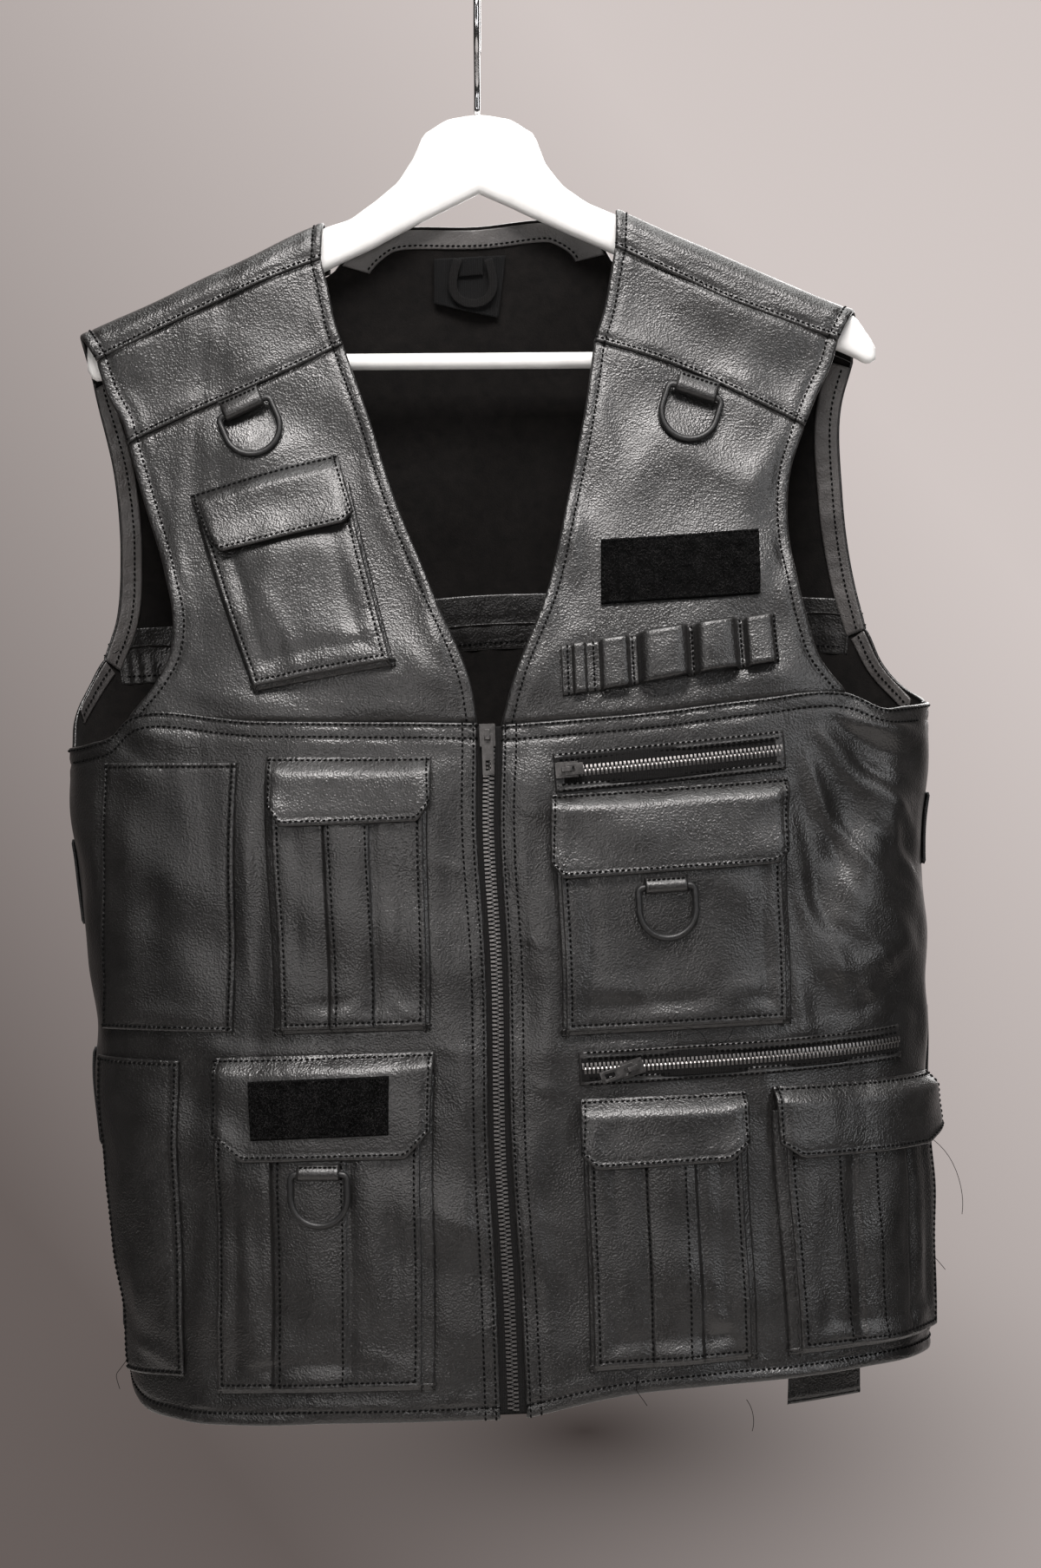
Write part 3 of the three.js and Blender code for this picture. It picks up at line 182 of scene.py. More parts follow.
HEM_L = [(SIDE_L, -795), (-184, -806), (-162, -809), (-61, -805), (14, -802)]
HEM_R = [(28, -801), (73, -791), (175, -782), (226, -778), (SIDE_R, -775)]
PLACKET_L = [(1, -424), (7, -600), (14, -802)]
PLACKET_R = [(14, -425), (18, -600), (28, -801)]
BACK_YOKE = [(225, -368), (120, -363), (0, -364), (-120, -378), (-216, -386)]

# Each panel: its face, border lines, how each border is finished, and its rows of stitches as
# (border, distance from it, from share, to share).
PANELS = {
    "front_lower_l": (
        "front",
        [(SIDE_L, -438), (-216, -435), (-203, -431)] + CHEST_L, HEM_L,
        [(SIDE_L, -438), (SIDE_L, -795)], PLACKET_L,
        ("over", "turned", "under", "turned"),
        [("top", 2.4, 0, 1), ("top", 9.5, 0.15, 1), ("bottom", 7.5, 0, 1), ("last", 9.0, 0, 1),
         ("last", 3.0, 0, 1)]),
    "front_lower_r": (
        "front",
        CHEST_R + [(225, -415), (240, -414), (SIDE_R, -411)], HEM_R,
        PLACKET_R, [(SIDE_R, -411), (SIDE_R, -775)],
        ("over", "turned", "turned", "under"),
        [("top", 2.4, 0, 1), ("top", 9.5, 0, 0.82), ("bottom", 7.5, 0, 1), ("first", 9.0, 0, 1),
         ("first", 3.0, 0, 1)]),
    "front_upper_l": (
        "front", SEAM_B_L, CHEST_L, ARMHOLE_L_LOW, NECK_L_LOW,
        ("under", "under", "turned", "turned"),
        [("first", 7.0, 0, 1), ("last", 6.5, 0, 1)]),
    "front_upper_r": (
        "front", SEAM_B_R, CHEST_R, NECK_R_LOW, ARMHOLE_R_LOW,
        ("under", "under", "turned", "turned"),
        [("first", 6.5, 0, 1), ("last", 7.0, 0, 1)]),
    "yoke_l": (
        "front", SEAM_A_L, SEAM_B_L, ARMHOLE_L, NECK_L,
        ("under", "over", "turned", "turned"),
        [("bottom", 3.4, 0, 1), ("first", 7.0, 0, 1), ("last", 6.5, 0, 1)]),
    "yoke_r": (
        "front", SEAM_A_R, SEAM_B_R, NECK_R, ARMHOLE_R,
        ("under", "over", "turned", "turned"),
        [("bottom", 3.4, 0, 1), ("first", 6.5, 0, 1), ("last", 7.0, 0, 1)]),
    "back_upper": (
        "back",
        BACK_SEAM_R + [(70, -147), (51, -136.5), (0, -139), (-62, -144), (-74, -153)] + BACK_SEAM_L,
        BACK_YOKE,
        [(215, -217), (209, -240), (210, -290), (218, -343), (225, -368)],
        [(-220, -229), (-209, -280), (-206, -325), (-209, -365), (-216, -386)],
        ("under", "over", "turned", "turned"),
        [("bottom", 3.0, 0, 1), ("bottom", 10.0, 0, 1), ("first", 7.0, 0, 1), ("last", 7.0, 0, 1),
         ("top", 6.0, 0.35, 0.65)]),
    "back_lower": (
        "back",
        [(SIDE_R, -411), (245, -401), (234, -387)] + BACK_YOKE + [(-224, -401), (-230, -414), (SIDE_L, -438)],
        [(SIDE_R, -775), (200, -781), (60, -792), (-80, -799), (-170, -799), (SIDE_L, -795)],
        [(SIDE_R, -411), (SIDE_R, -775)], [(SIDE_L, -438), (SIDE_L, -795)],
        ("under", "turned", "under", "under"),
        [("bottom", 7.5, 0, 1)]),
}

SHOULDER_PIECES = {
    "shoulder_l": (SEAM_A_L, BACK_SEAM_L[::-1], -226, -87),
    "shoulder_r": (SEAM_A_R, BACK_SEAM_R[::-1], 79, 215),
}

# The distance of the stitches from each border of a shoulder piece.
SHOULDER_ROWS = {"top": 3.4, "bottom": 3.4, "first": 7.0, "last": 6.5}

# Pocket bodies: corners of the front face, flare of the gusset on each side, a raised strip if there is one,
# and the panel they are sewn to.
POCKET_BODIES = [
    ("chest_pocket_body", [(-153, -312), (-73, -291), (-47, -391), (-121, -404)],
     2, 2, None, "front_upper_l"),
    ("box_pocket_body", [(-111, -456), (-28, -456), (-27, -589), (-105, -592)],
     5, 2, (0.36, 0.66), "front_lower_l"),
    ("big_pocket_body", [(-140, -621), (-29, -616), (-29, -783), (-139, -789)],
     2, 6, (0.32, 0.68), "front_lower_l"),
    ("large_pocket_body", [(46, -478), (167, -468), (168, -586), (50, -592)],
     2, 4.5, None, "front_lower_r"),
    ("pocket_a_body", [(61, -642), (143, -638), (149, -768), (65, -773)],
     2, 4.5, (0.36, 0.68), "front_lower_r"),
    ("pocket_b_body", [(168, -636), (250, -634), (252, -760), (177, -766)],
     4, 1, (0.33, 0.66), "front_lower_r")]

# Creases on the pockets, as shares of the width and of the height: s0, t0, s1, t1, width, out, bend.
POCKET_CREASES = {
    "chest_pocket_body": [(0.3, 0.5, 0.36, 0.95, 5, 0.7, 2), (0.7, 0.86, 0.98, 0.8, 4, 0.9, 0),
                          (0.1, 0.3, 0.9, 0.36, 8, 0.8, 4)],
    "box_pocket_body": [(0.1, 0.3, 0.16, 0.92, 5, 0.9, 3), (0.85, 0.3, 0.88, 0.9, 5, 0.9, -3),
                        (0.4, 0.95, 0.7, 0.9, 4, 1.2, 2), (0.75, 0.9, 0.98, 0.97, 4, 1.0, 0)],
    "big_pocket_body": [(0.1, 0.35, 0.2, 0.95, 6, 0.9, 4), (0.78, 0.3, 0.9, 0.92, 6, 1.0, -4),
                        (0.68, 0.92, 0.95, 0.95, 5, 1.2, 3), (0.1, 0.95, 0.34, 0.9, 5, 1.0, 2)],
    "large_pocket_body": [(0.05, 0.8, 0.4, 0.92, 6, 1.0, 4), (0.6, 0.92, 0.97, 0.84, 6, 1.1, 3),
                          (0.5, 0.3, 0.9, 0.5, 9, 0.9, 6), (0.05, 0.35, 0.1, 0.85, 5, 0.8, 2)],
    "pocket_a_body": [(0.1, 0.25, 0.18, 0.9, 5, 0.9, 2), (0.72, 0.8, 0.98, 0.98, 4.5, 1.4, 3),
                      (0.7, 0.95, 0.95, 0.85, 4, -1.0, 0), (0.4, 0.96, 0.66, 0.98, 4, 1.0, 0)],
    "pocket_b_body": [(0.1, 0.3, 0.2, 0.95, 5, 1.0, 3), (0.76, 0.3, 0.84, 0.9, 5, 0.9, -3),
                      (0.1, 0.93, 0.33, 0.97, 4, 1.2, 2), (0.68, 0.96, 0.95, 0.9, 4, 1.1, 2)],
}

# Flaps: the two top corners, then the low edge from left to right with its cut corners.
FLAPS = [
    ("chest_pocket_flap", [(-160, -297), (-77, -274)],
     [(-146, -326), (-139, -332), (-72, -316), (-67, -309)]),
    ("box_pocket_flap", [(-115, -443), (-24, -443)],
     [(-113, -471), (-105, -482), (-31, -479), (-24, -469)]),
    ("big_pocket_flap", [(-144, -608), (-22, -603)],
     [(-142, -649), (-125, -664), (-37, -661), (-24, -646)]),
    ("large_pocket_flap", [(41, -464), (172, -454)],
     [(41, -502), (48, -510), (162, -502), (170, -495)]),
    ("pocket_a_flap", [(57, -629), (148, -625)],
     [(57, -659), (66, -667), (137, -663), (148, -653)]),
    ("pocket_b_flap", [(162, -623), (251, -618)],
     [(164, -654), (176, -662), (245, -658), (253, -649)])]

# Flat pockets: their corners, how far they stand out, and their creases as on the pocket bodies.
FLAT_POCKETS = [
    ("flat_pocket", [(-206, -446), (-131, -446), (-133, -594), (-207, -594)], 2.6,
     [(0.2, 0.1, 0.26, 0.9, 9, 1.2, 6), (0.7, 0.2, 0.72, 0.85, 9, 1.0, -5),
      (0.1, 0.97, 0.8, 0.94, 5, 0.9, 3)]),
    ("side_pocket", [(-211, -609), (-163, -610), (-160, -784), (-193, -786)], 2.7,
     [(0.35, 0.05, 0.5, 0.8, 8, 1.6, 5), (0.7, 0.1, 0.9, 0.9, 6, 1.2, -3), (0.1, 0.5, 0.6, 0.95, 7, 1.4, 5),
      (0.3, 0.9, 0.95, 0.97, 4, 1.5, 2)])]

# Patches: their corners, how far they stand out, how much more at the low edge, and what they lie on.
PATCHES = [
    ("chest_patch", [(69, -323), (157, -316), (157, -353), (69, -359)], 2.2, 0.0, "front_upper_r_leather"),
    ("big_pocket_patch", [(-122, -620), (-46, -616), (-46, -648), (-120, -652)], FLAP_OVER + 3.0, 1.1,
     "big_pocket_flap_leather")]

STRAP_END = [(222, -740), (182, -742), (181, -822), (222, -812)]

# Bands inside the back: the piece, the solid it stands for, the border it follows, its distance and width,
# how far it stands in, the shares it runs between, its columns, what it lies on and its stitches' distance.
FACINGS = [
    ("neck_facing", "neck_facing", PANELS["back_upper"][1][6:13],
     1.6, 11.0, 1.5, 0.05, 0.95, 90, "back_upper_leather", 2.6),
    ("armhole_facing_r", "armhole_facing_r", PANELS["back_upper"][3],
     -13.5, 12.5, 1.6, 0.02, 1.0, 90, "back_upper_leather", 5.0),
    ("armhole_facing_l", "armhole_facing_l", PANELS["back_upper"][4],
     1.2, 12.5, 1.6, 0.02, 1.0, 90, "back_upper_leather", 5.0),
    ("armhole_end_r", None, [(225, -368), (234, -387), (245, -401), (250, -408)],
     -11.5, 10.0, 1.4, 0.0, 1.0, 30, "back_lower_leather", 5.0),
    ("armhole_end_l", None, [(-216, -386), (-224, -401), (-230, -414)],
     1.5, 10.0, 1.4, 0.0, 1.0, 24, "back_lower_leather", 5.0),
    ("yoke_seam", None, BACK_YOKE,
     -16.5, 32.0, 1.0, 0.035, 0.965, 260, "back_upper_leather", 5.0)]

# Webbing: its top and bottom, and the places of the chart it runs between.
WEBBING = [
    ("webbing_l_upper", -489, -537, -0.975, -1.36), ("webbing_l_middle", -607, -662, -0.985, -1.36),
    ("webbing_l_lower", -712, -766, -0.99, -1.36), ("webbing_r_upper", -462, -503, 0.965, 1.36),
    ("webbing_r_middle", -581, -634, 1.01, 1.36), ("webbing_r_lower", -686, -739, 1.01, 1.36)]

CARTRIDGE_TOP = [(47, -382), (165, -364)]
CARTRIDGE_BOTTOM = [(48, -410), (167, -391)]
# Each loop across the strip: where it starts and ends, from the strip's left end, and how far it stands out.
CARTRIDGE_LOOPS = [(6, 13.5, 3.6), (21, 37, 6.2), (42, 70, 10.2), (73, 97, 10.0), (101, 117, 6.4)]
CARTRIDGE_ENDS = 119.0
# Where the stitches run down between the loops.
CARTRIDGE_ROWS = (3, 17.2, 39.5, 71.5, 99, 118)

# Rings: place of the bar, slope in degrees, distance from the body, and the length of the loop's tails.
RINGS = [
    ("l", -129.81, -248.15, 24, 0.11, 9), ("r", 122.36, -239.16, -18, 0.1, 9),
    ("big", -83.5, -669.5, 1, 6.5, 5.5), ("large", 103.06, -514, 4, 5.91, 5.5)]
# The radius of the wire, half the ring's width, its length, and the height of its bar.
RING_WIRE = 1.8
RING_HALF = 15.6
RING_DROP = 28.0
RING_BAR_UP = 4.0
LOOP_WIDTH = 23.5
LOOP_PLY = 1.3

# Middle lines of the zips; the sewn-in ones also have half the width of their opening.
FRONT_ZIP = [(7.5, -426), (12.5, -600), (21, -799)]
SEWN_ZIPS = [
    ("upper_zip", [(44, -452), (169, -439)], 9.5),
    ("lower_zip", [(57.5, -612.5), (234, -600.5)], 8.0)]

# Ends of thread: x, z, distance from the body, how far they reach sideways and down, and their bend.
LOOSE_THREADS = [
    (250, -655, 4, 19, -44, 7),
    (251, -712, 4, 8, -18, -4),
    (112, -590, 12, 12, -11, 5),
    (138, -590, 12, -9, -9, 3),
    (-192, -778, 2, -5, -18, -4),
    (88, -778, 3, 5, -16, -3),
    (147, -792, 2, 3, -17, 2),
]

# Sections of the hanger's arms; where the top is 0 it lies under the shoulder.
HANGER = columns(("x", "top", "bottom", "half"), [
    (-221, -209, -223, 3.5), (-217, 0, -229, 5.8), (-185, 0, -215, 6.4), (-150, 0, -198, 6.5),
    (-118, 0, -182, 6.5), (-85, 0, -166, 6.5), (-74, -138, -160.5, 6.5), (-62, -130, -155, 6.5),
    (-47, -118, -147, 6.5), (-37.5, -104.5, -142, 6.5), (-29, -88, -137.5, 6.5), (-14, -80, -130, 6.5),
    (1, -78, -122.5, 6.5), (16, -80, -129, 6.5), (31, -88, -136, 6.5), (40, -107.5, -140, 6.5),
    (51, -120, -145, 6.5), (65, -129, -151, 6.5), (80, 0, -158, 6.5), (115, 0, -173, 6.5),
    (150, 0, -188, 6.5), (185, 0, -203, 6.5), (213, 0, -215, 6.2), (222, -203, -219, 5.5),
    (226, -210, -217, 3.5)])
HANGER_UNDER = 3.4
HANGER_PEAK = 12
BAR_FROM = (-196, -219)
BAR_TO = (200, -216)
BAR_RADIUS = 4.7
HOOK_WIRE = 1.75
HOOK_INSIDE = 25.5
HOOK_STEM = [
    (0, 0, -77.4), (0, 0, -73), (0, 0, -69), (0, -0.4, -66), (0, -1.4, -63), (0, -3, -60), (0, -5.6, -57)]

# Lights: place and target in metres, size, power in watts and colour.
LIGHTS = [
    ("key", (0.02, -1.4, 1.3), (0, 0, -0.5), (1.3, 0.7), 73, (1.0, 0.962, 0.945)),
    ("low_key", (-0.3, -1.6, -0.35), (0, 0, -0.7), (0.9, 0.35), 4, (1.0, 0.965, 0.95)),
    ("left", (-1.5, -1.5, 0.3), (0, 0, -0.4), (0.35, 1.2), 2.5, (1.0, 0.99, 0.975)),
    ("right", (1.5, -1.6, 0.1), (0, 0, -0.5), (0.35, 1.6), 10, (0.98, 0.985, 1.0)),
    ("top", (0.1, 0.3, 1.3), (0, 0, -0.3), (1.6, 1.2), 30, (1.0, 0.99, 0.97)),
    ("back", (0.6, 2.0, 0.5), (0, 0, -0.45), (1.6, 1.6), 40, (1.0, 0.99, 0.98))]
WALL_DARK = (0.135, 0.112, 0.105)
WALL_LIGHT = (0.64, 0.575, 0.555)
# The colour of the painted shadow of the vest on the wall below it.
WALL_SHADOW = (0.05, 0.04, 0.037)
ROOM = (0.045, 0.043, 0.042)
FLOOR_AT = -1300
FLOOR_RADIUS = 1350


def curve(table, key, value, at, calm=False):
    """A smooth curve through two columns of a table, flat beyond its ends; a calm one never overshoots."""
    xs = table[key]
    ys = table[value]
    spot = np.clip(at, xs[0], xs[-1])
    k = np.clip(np.searchsorted(xs, spot, side="left") - 1, 0, len(xs) - 2)
    run = np.diff(xs)
    slope = np.diff(ys) / run
    tangent = np.empty(len(xs))
    tangent[0] = slope[0]
    tangent[-1] = slope[-1]
    tangent[1:-1] = (slope[:-1] * run[1:] + slope[1:] * run[:-1]) / (run[:-1] + run[1:])
    if calm:
        least = np.minimum(np.abs(slope[:-1]), np.abs(slope[1:]))
        tangent[1:-1] = np.where(slope[:-1] * slope[1:] > 0, np.sign(slope[1:]) * least, 0)
    t = (spot - xs[k]) / run[k]
    t2 = t * t
    t3 = t2 * t
    return ((2 * t3 - 3 * t2 + 1) * ys[k] + (t3 - 2 * t2 + t) * run[k] * tangent[k]
            + (3 * t2 - 2 * t3) * ys[k + 1] + (t3 - t2) * run[k] * tangent[k + 1])


def shoulder_at(x):
    return curve(SHOULDER, "x", "z", x)


def section_at(z, side):
    return curve(SECTIONS, "down", side, -z)


def crease_sum(table, x, z):
    """The height of all creases of a table at a place: soft ridges, or troughs where out is negative."""
    total = np.zeros(np.shape(x))
    for x0, z0, x1, z1, width, out, bend in table:
        size = math.hypot(x1 - x0, z1 - z0)
        t = ((x - x0) * (x1 - x0) + (z - z0) * (z1 - z0)) / size ** 2
        side = ((x - x0) * (z1 - z0) - (z - z0) * (x1 - x0)) / size
        near = np.clip(t, 0, 1)
        gap = np.hypot(side - bend * 4 * near * (1 - near), (t - near) * size)
        body = np.sin(np.pi * np.clip(0.12 + 0.76 * t, 0, 1))
        total = total + out * body * np.exp(-(gap / width) ** 2)
    return total


wave_turns = random_numbers.integers(4, 30, 16)
wave_down = random_numbers.uniform(-0.14, 0.14, 16)
wave_phase = random_numbers.uniform(0, 2 * np.pi, 16)
wave_size = 0.95 / (1 + wave_turns / 7.0)


def ripple(u, z):
    """A slight unevenness all over the leather that meets itself around the body."""
    total = np.zeros(np.shape(u))
    for k in range(len(wave_turns)):
        angle = wave_turns[k] * np.pi / 2 * u + wave_down[k] * z + wave_phase[k]
        total = total + wave_size[k] * np.sin(angle)
    return total


def depth_at(front, x, z, share):
    """How far the body reaches forwards or back at a place; share is its part of the section's depth."""
    ridge = shoulder_at(x)
    below = np.maximum(ridge - z, 0)
    arch = np.where(below < ARCH, np.sqrt(np.maximum(2 * ARCH * below - below * below, 0)), ARCH)
    t = np.clip(below / (ridge - FULL_SECTION), 0, 1)
    blend = 0.5 * t + 0.5 * t * t * (3 - 2 * t)
    section = np.where(front, section_at(z, "front"), section_at(z, "back"))
    return arch + blend * (section * share - ARCH)


def chart(face, x, z):
    """u runs from -1 (left side) to 1 (right side) on the front and on to 3 on the back."""
    left = section_at(z, "left")
    right = section_at(z, "right")
    s = np.clip((2 * x - right - left) / (right - left), -1, 1)
    angle = np.arcsin(s) / (np.pi / 2)
    return angle if face == "front" else 2 - angle


def on_body(u, z):
    """The body's surface at a place of the chart, without folds."""
    left = section_at(z, "left")
    right = section_at(z, "right")
    across = np.sin(u * np.pi / 2)
    share = np.maximum(1 - np.abs(across) ** POWER, 0) ** (1 / POWER)
    front = np.cos(u * np.pi / 2) >= 0
    x = (left + right) / 2 + across * (right - left) / 2
    depth = depth_at(front, x, z, share)
    return np.stack([x, np.where(front, -depth, depth), z + 0 * x], axis=-1)


def unit(vectors):
    return vectors / np.maximum(np.linalg.norm(vectors, axis=-1, keepdims=True), 1e-9)


def outwards(u, z):
    along_u = on_body(u + 0.004, z) - on_body(u - 0.004, z)
    along_z = on_body(u, z + 0.6) - on_body(u, z - 0.6)
    return unit(np.cross(along_u, along_z))


def skin(u, z, out=0.0):
    """The leather's surface at a place of the chart, or a place that far out from it."""
    base = on_body(u, z)
    cos = np.cos(u * np.pi / 2)
    quiet = np.clip(np.abs(cos) * 3.5, 0, 1)
    x = base[..., 0]
    front = crease_sum(FRONT_FOLDS, x, z) + crease_sum(FRONT_CREASES, x, z)
    back = crease_sum(BACK_FOLDS, x, z) + crease_sum(BACK_CREASES, x, z)
    high = np.where(cos >= 0, front, back) * quiet + ripple(u, z) * 0.6
    return base + outwards(u, z) * (high + out)[..., None]


def run_along(points):
    """The length of a line from its start to each of its points."""
    return np.concatenate([[0], np.cumsum(np.linalg.norm(np.diff(points, axis=0), axis=1))])


def at_length(where, run, points):
    """The places of a line at given lengths along it."""
    return np.stack([np.interp(where, run, points[:, c]) for c in range(points.shape[1])], axis=-1)


def smooth_line(points, metric=1.0):
    """A dense line that runs smoothly through the points of a table."""
    pts = np.array(points, float)
    if len(pts) < 3:
        return np.linspace(pts[0], pts[-1], 40)
    knots = run_along(pts * np.array([metric, 1.0]))
    parts = [np.linspace(a, b, 14, endpoint=False) for a, b in zip(knots[:-1], knots[1:])]
    fine = np.concatenate(parts + [knots[-1:]])
    table = {"at": knots, "first": pts[:, 0], "second": pts[:, 1]}
    return np.stack([curve(table, "at", key, fine) for key in ("first", "second")], axis=1)


def sample(line, shares):
    """Places along a dense line of the chart at shares of its length."""
    run = run_along(line * np.array([METRIC_U, 1.0]))
    return at_length(np.asarray(shares) * run[-1], run, line)


def line_size(line, metric=METRIC_U):
    return float(np.linalg.norm(np.diff(line * np.array([metric, 1.0]), axis=0), axis=1).sum())


def shares_of(size, step, low=(), high=()):
    """Shares for grid lines that lie close together near both borders and near given distances from them."""
    close = [0, 0.3, 0.8, 1.5, 2.4, 3.6]
    marks = list(close) + [size - d for d in close]
    for row in low:
        marks += [row - 0.9, row, row + 0.9]
    for row in high:
        marks += [size - row - 0.9, size - row, size - row + 0.9]
    marks = sorted(m for m in marks if 0 <= m <= size)
    filled = [marks[0]]
    for mark in marks[1:]:
        gap = mark - filled[-1]
        if gap < 0.24:
            continue
        pieces = max(1, int(math.ceil(gap / step)))
        for _ in range(pieces - 1):
            filled.append(filled[-1] + gap / pieces)
        filled.append(mark)
    filled[-1] = size
    return np.array(filled) / size


def coons(top, bottom, first, last, across, down):
    """Fills the inside of four border lines; across and down are the shares of the columns and rows."""
    t = sample(top, across)[None, :, :]
    b = sample(bottom, across)[None, :, :]
    f = sample(first, down)[:, None, :]
    g = sample(last, down)[:, None, :]
    s = across[None, :, None]
    r = down[:, None, None]
    corners = ((1 - r) * ((1 - s) * top[0] + s * top[-1]) + r * ((1 - s) * bottom[0] + s * bottom[-1]))
    return (1 - r) * t + r * b + (1 - s) * f + s * g - corners


def normals_of(grid):
    """The outward directions of a grid whose rows run across and whose columns run down."""
    along = np.gradient(grid, axis=1)
    down = np.gradient(grid, axis=0)
    return unit(np.cross(down, along))


def distances(grid):
    """For every point, how far it is from each of the four borders along the grid's own lines."""
    across = np.linalg.norm(np.diff(grid, axis=1), axis=2)
    down = np.linalg.norm(np.diff(grid, axis=0), axis=2)
    first = np.concatenate([np.zeros((grid.shape[0], 1)), np.cumsum(across, axis=1)], axis=1)
    top = np.concatenate([np.zeros((1, grid.shape[1])), np.cumsum(down, axis=0)], axis=0)
    return {"first": first, "last": first[:, -1:] - first, "top": top, "bottom": top[-1:] - top}


def rounded(d, radius):
    """How far an edge falls back at a distance from the border, for a rounded edge."""
    gap = np.clip(radius - d, 0, radius)
    return radius - np.sqrt(np.maximum(radius * radius - gap * gap, 0))


def edge_height(kind, d, along, rows):
    """The relief of a finished border: how far the surface stands out at a distance from it."""
    uneven = 0.5 + 0.5 * np.sin(along / 5.3 + 1.7 * np.sin(along / 17.0))
    if kind == "under":
        high = -1.3 * np.exp(-(d / 1.6) ** 2)
    else:
        high = -rounded(d, 1.1)
        swell = 3.0 if kind == "turned" else 1.5
        high = high + (0.5 if kind == "turned" else 0.4) * np.exp(-((d - swell) / (swell * 0.75)) ** 2)
    for row in rows:
        high = high - (0.25 + 0.25 * uneven) * np.exp(-((d - row) / 1.0) ** 2)
        high = high + 0.4 * uneven * np.exp(-((d - row - 4.0) / 2.4) ** 2)
    return high


def nearness(gaps):
    """From 0 to 1: how close a place is to a sewn border, where the leather puckers."""
    total = np.zeros(np.shape(gaps[0]))
    for gap in gaps:
        total = np.maximum(total, np.exp(-np.clip(gap - 2.0, 0, None) / 7.0))
    return total


def inset_line(grid, border, distance, low=0.0, high=1.0):
    """The line on a grid that keeps a distance from one of its borders, with the outward directions there."""
    normals = normals_of(grid)
    span = distances(grid)[border]
    if border in ("first", "last"):
        lines = [(grid[i], normals[i], span[i]) for i in range(grid.shape[0])]
    else:
        lines = [(grid[:, j], normals[:, j], span[:, j]) for j in range(grid.shape[1])]
    points = []
    ways = []
    for line, way, size in lines:
        order = np.argsort(size)
        points.append([np.interp(distance, size[order], line[order, c]) for c in range(3)])
        ways.append([np.interp(distance, size[order], way[order, c]) for c in range(3)])
    start = int(round(low * (len(points) - 1)))
    end = int(round(high * (len(points) - 1))) + 1
    return np.array(points[start:end]), unit(np.array(ways[start:end]))


def make_object(name, points, faces, material, body="vest", smooth=True, material_index=None):
    mesh = bpy.data.meshes.new(name)
    mesh.from_pydata((np.asarray(points) * MM).tolist(), [], [tuple(int(i) for i in face) for face in faces])
    mesh.update()
    if smooth:
        mesh.polygons.foreach_set("use_smooth", np.ones(len(mesh.polygons), dtype=bool))
    piece = bpy.data.objects.new(name, mesh)
    bpy.context.scene.collection.objects.link(piece)
    for one in material if isinstance(material, (list, tuple)) else [material]:
        mesh.materials.append(one)
    if material_index is not None:
        mesh.polygons.foreach_set("material_index", np.asarray(material_index, dtype=np.int32))
    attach(piece, body)
    return piece


def shell_faces(rows, cols):
    """Faces of a closed sheet whose outer and inner skins have the same grid."""
    size = rows * cols
    index = np.arange(size).reshape(rows, cols)
    a = index[:-1, :-1].ravel()
    b = index[1:, :-1].ravel()
    c = index[1:, 1:].ravel()
    d = index[:-1, 1:].ravel()
    outer = np.stack([a, b, c, d], axis=1)
    inner = np.stack([a, d, c, b], axis=1) + size
    loop = np.concatenate([index[0, :-1], index[:-1, -1], index[-1, :0:-1], index[:0:-1, 0]])
    after = np.roll(loop, -1)
    rim = np.stack([loop, after, after + size, loop + size], axis=1)
    return outer, inner, rim


def shell(name, grid, thick, material, inside=None, slot="leather", near=None):
    """A thin closed sheet whose outer skin is the grid; near says where its leather puckers."""
    normals = normals_of(grid)
    inner = grid - normals * thick
    outer_faces, inner_faces, rim_faces = shell_faces(*grid.shape[:2])
    faces = np.concatenate([outer_faces, inner_faces, rim_faces])
    kind = np.zeros(len(faces), dtype=np.int32)
    materials = [material]
    if inside is not None:
        materials.append(inside)
        kind[len(outer_faces):len(outer_faces) + len(inner_faces)] = 1
    points = np.concatenate([grid.reshape(-1, 3), inner.reshape(-1, 3)])
    piece = make_object(name, points, faces, materials, material_index=kind)
    if near is not None:
        layer = piece.data.attributes.new("near", "FLOAT", "POINT")
        layer.data.foreach_set("value", np.tile(np.asarray(near, np.float32).ravel(), 2))
    return piece


def declare(grid):
    """Works out the size a sheet was cut to, measured along its own surface; the result is not kept."""
    across = np.linalg.norm(np.diff(grid, axis=1), axis=2)
    down = np.linalg.norm(np.diff(grid, axis=0), axis=2)
    width = across.sum(axis=1).max() * MM
    size = down.sum(axis=0).max() * MM
    a = grid[1:, :-1] - grid[:-1, :-1]
    b = grid[:-1, 1:] - grid[:-1, :-1]
    c = grid[1:, :-1] - grid[1:, 1:]
    d = grid[:-1, 1:] - grid[1:, 1:]
    area = 0.5 * (np.linalg.norm(np.cross(a, b), axis=2).sum() + np.linalg.norm(np.cross(c, d), axis=2).sum())
    area = area * MM * MM
    if area > width * size:
        width = area / size * 1.0005


def place_sheet(name, node, grid, thick, material, held, rests_on, **looks):
    """A sheet of the vest that stands for a solid, whose part it hides, or for none; the looks are those of
    its shell.
    """
    piece = shell(name, grid, thick, material, **looks)
    if node:
        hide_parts(node)
    declare(grid)


def node_tree(name):
    """A new material with its tree, its shader and the node that gives places on the piece."""
    material = bpy.data.materials.new(name)
    material.use_nodes = True
    tree = material.node_tree
    tree.nodes.clear()
    output = tree.nodes.new("ShaderNodeOutputMaterial")
    shader = tree.nodes.new("ShaderNodeBsdfPrincipled")
    tree.links.new(shader.outputs["BSDF"], output.inputs["Surface"])
    place = tree.nodes.new("ShaderNodeTexCoord")
    return material, tree, shader, place


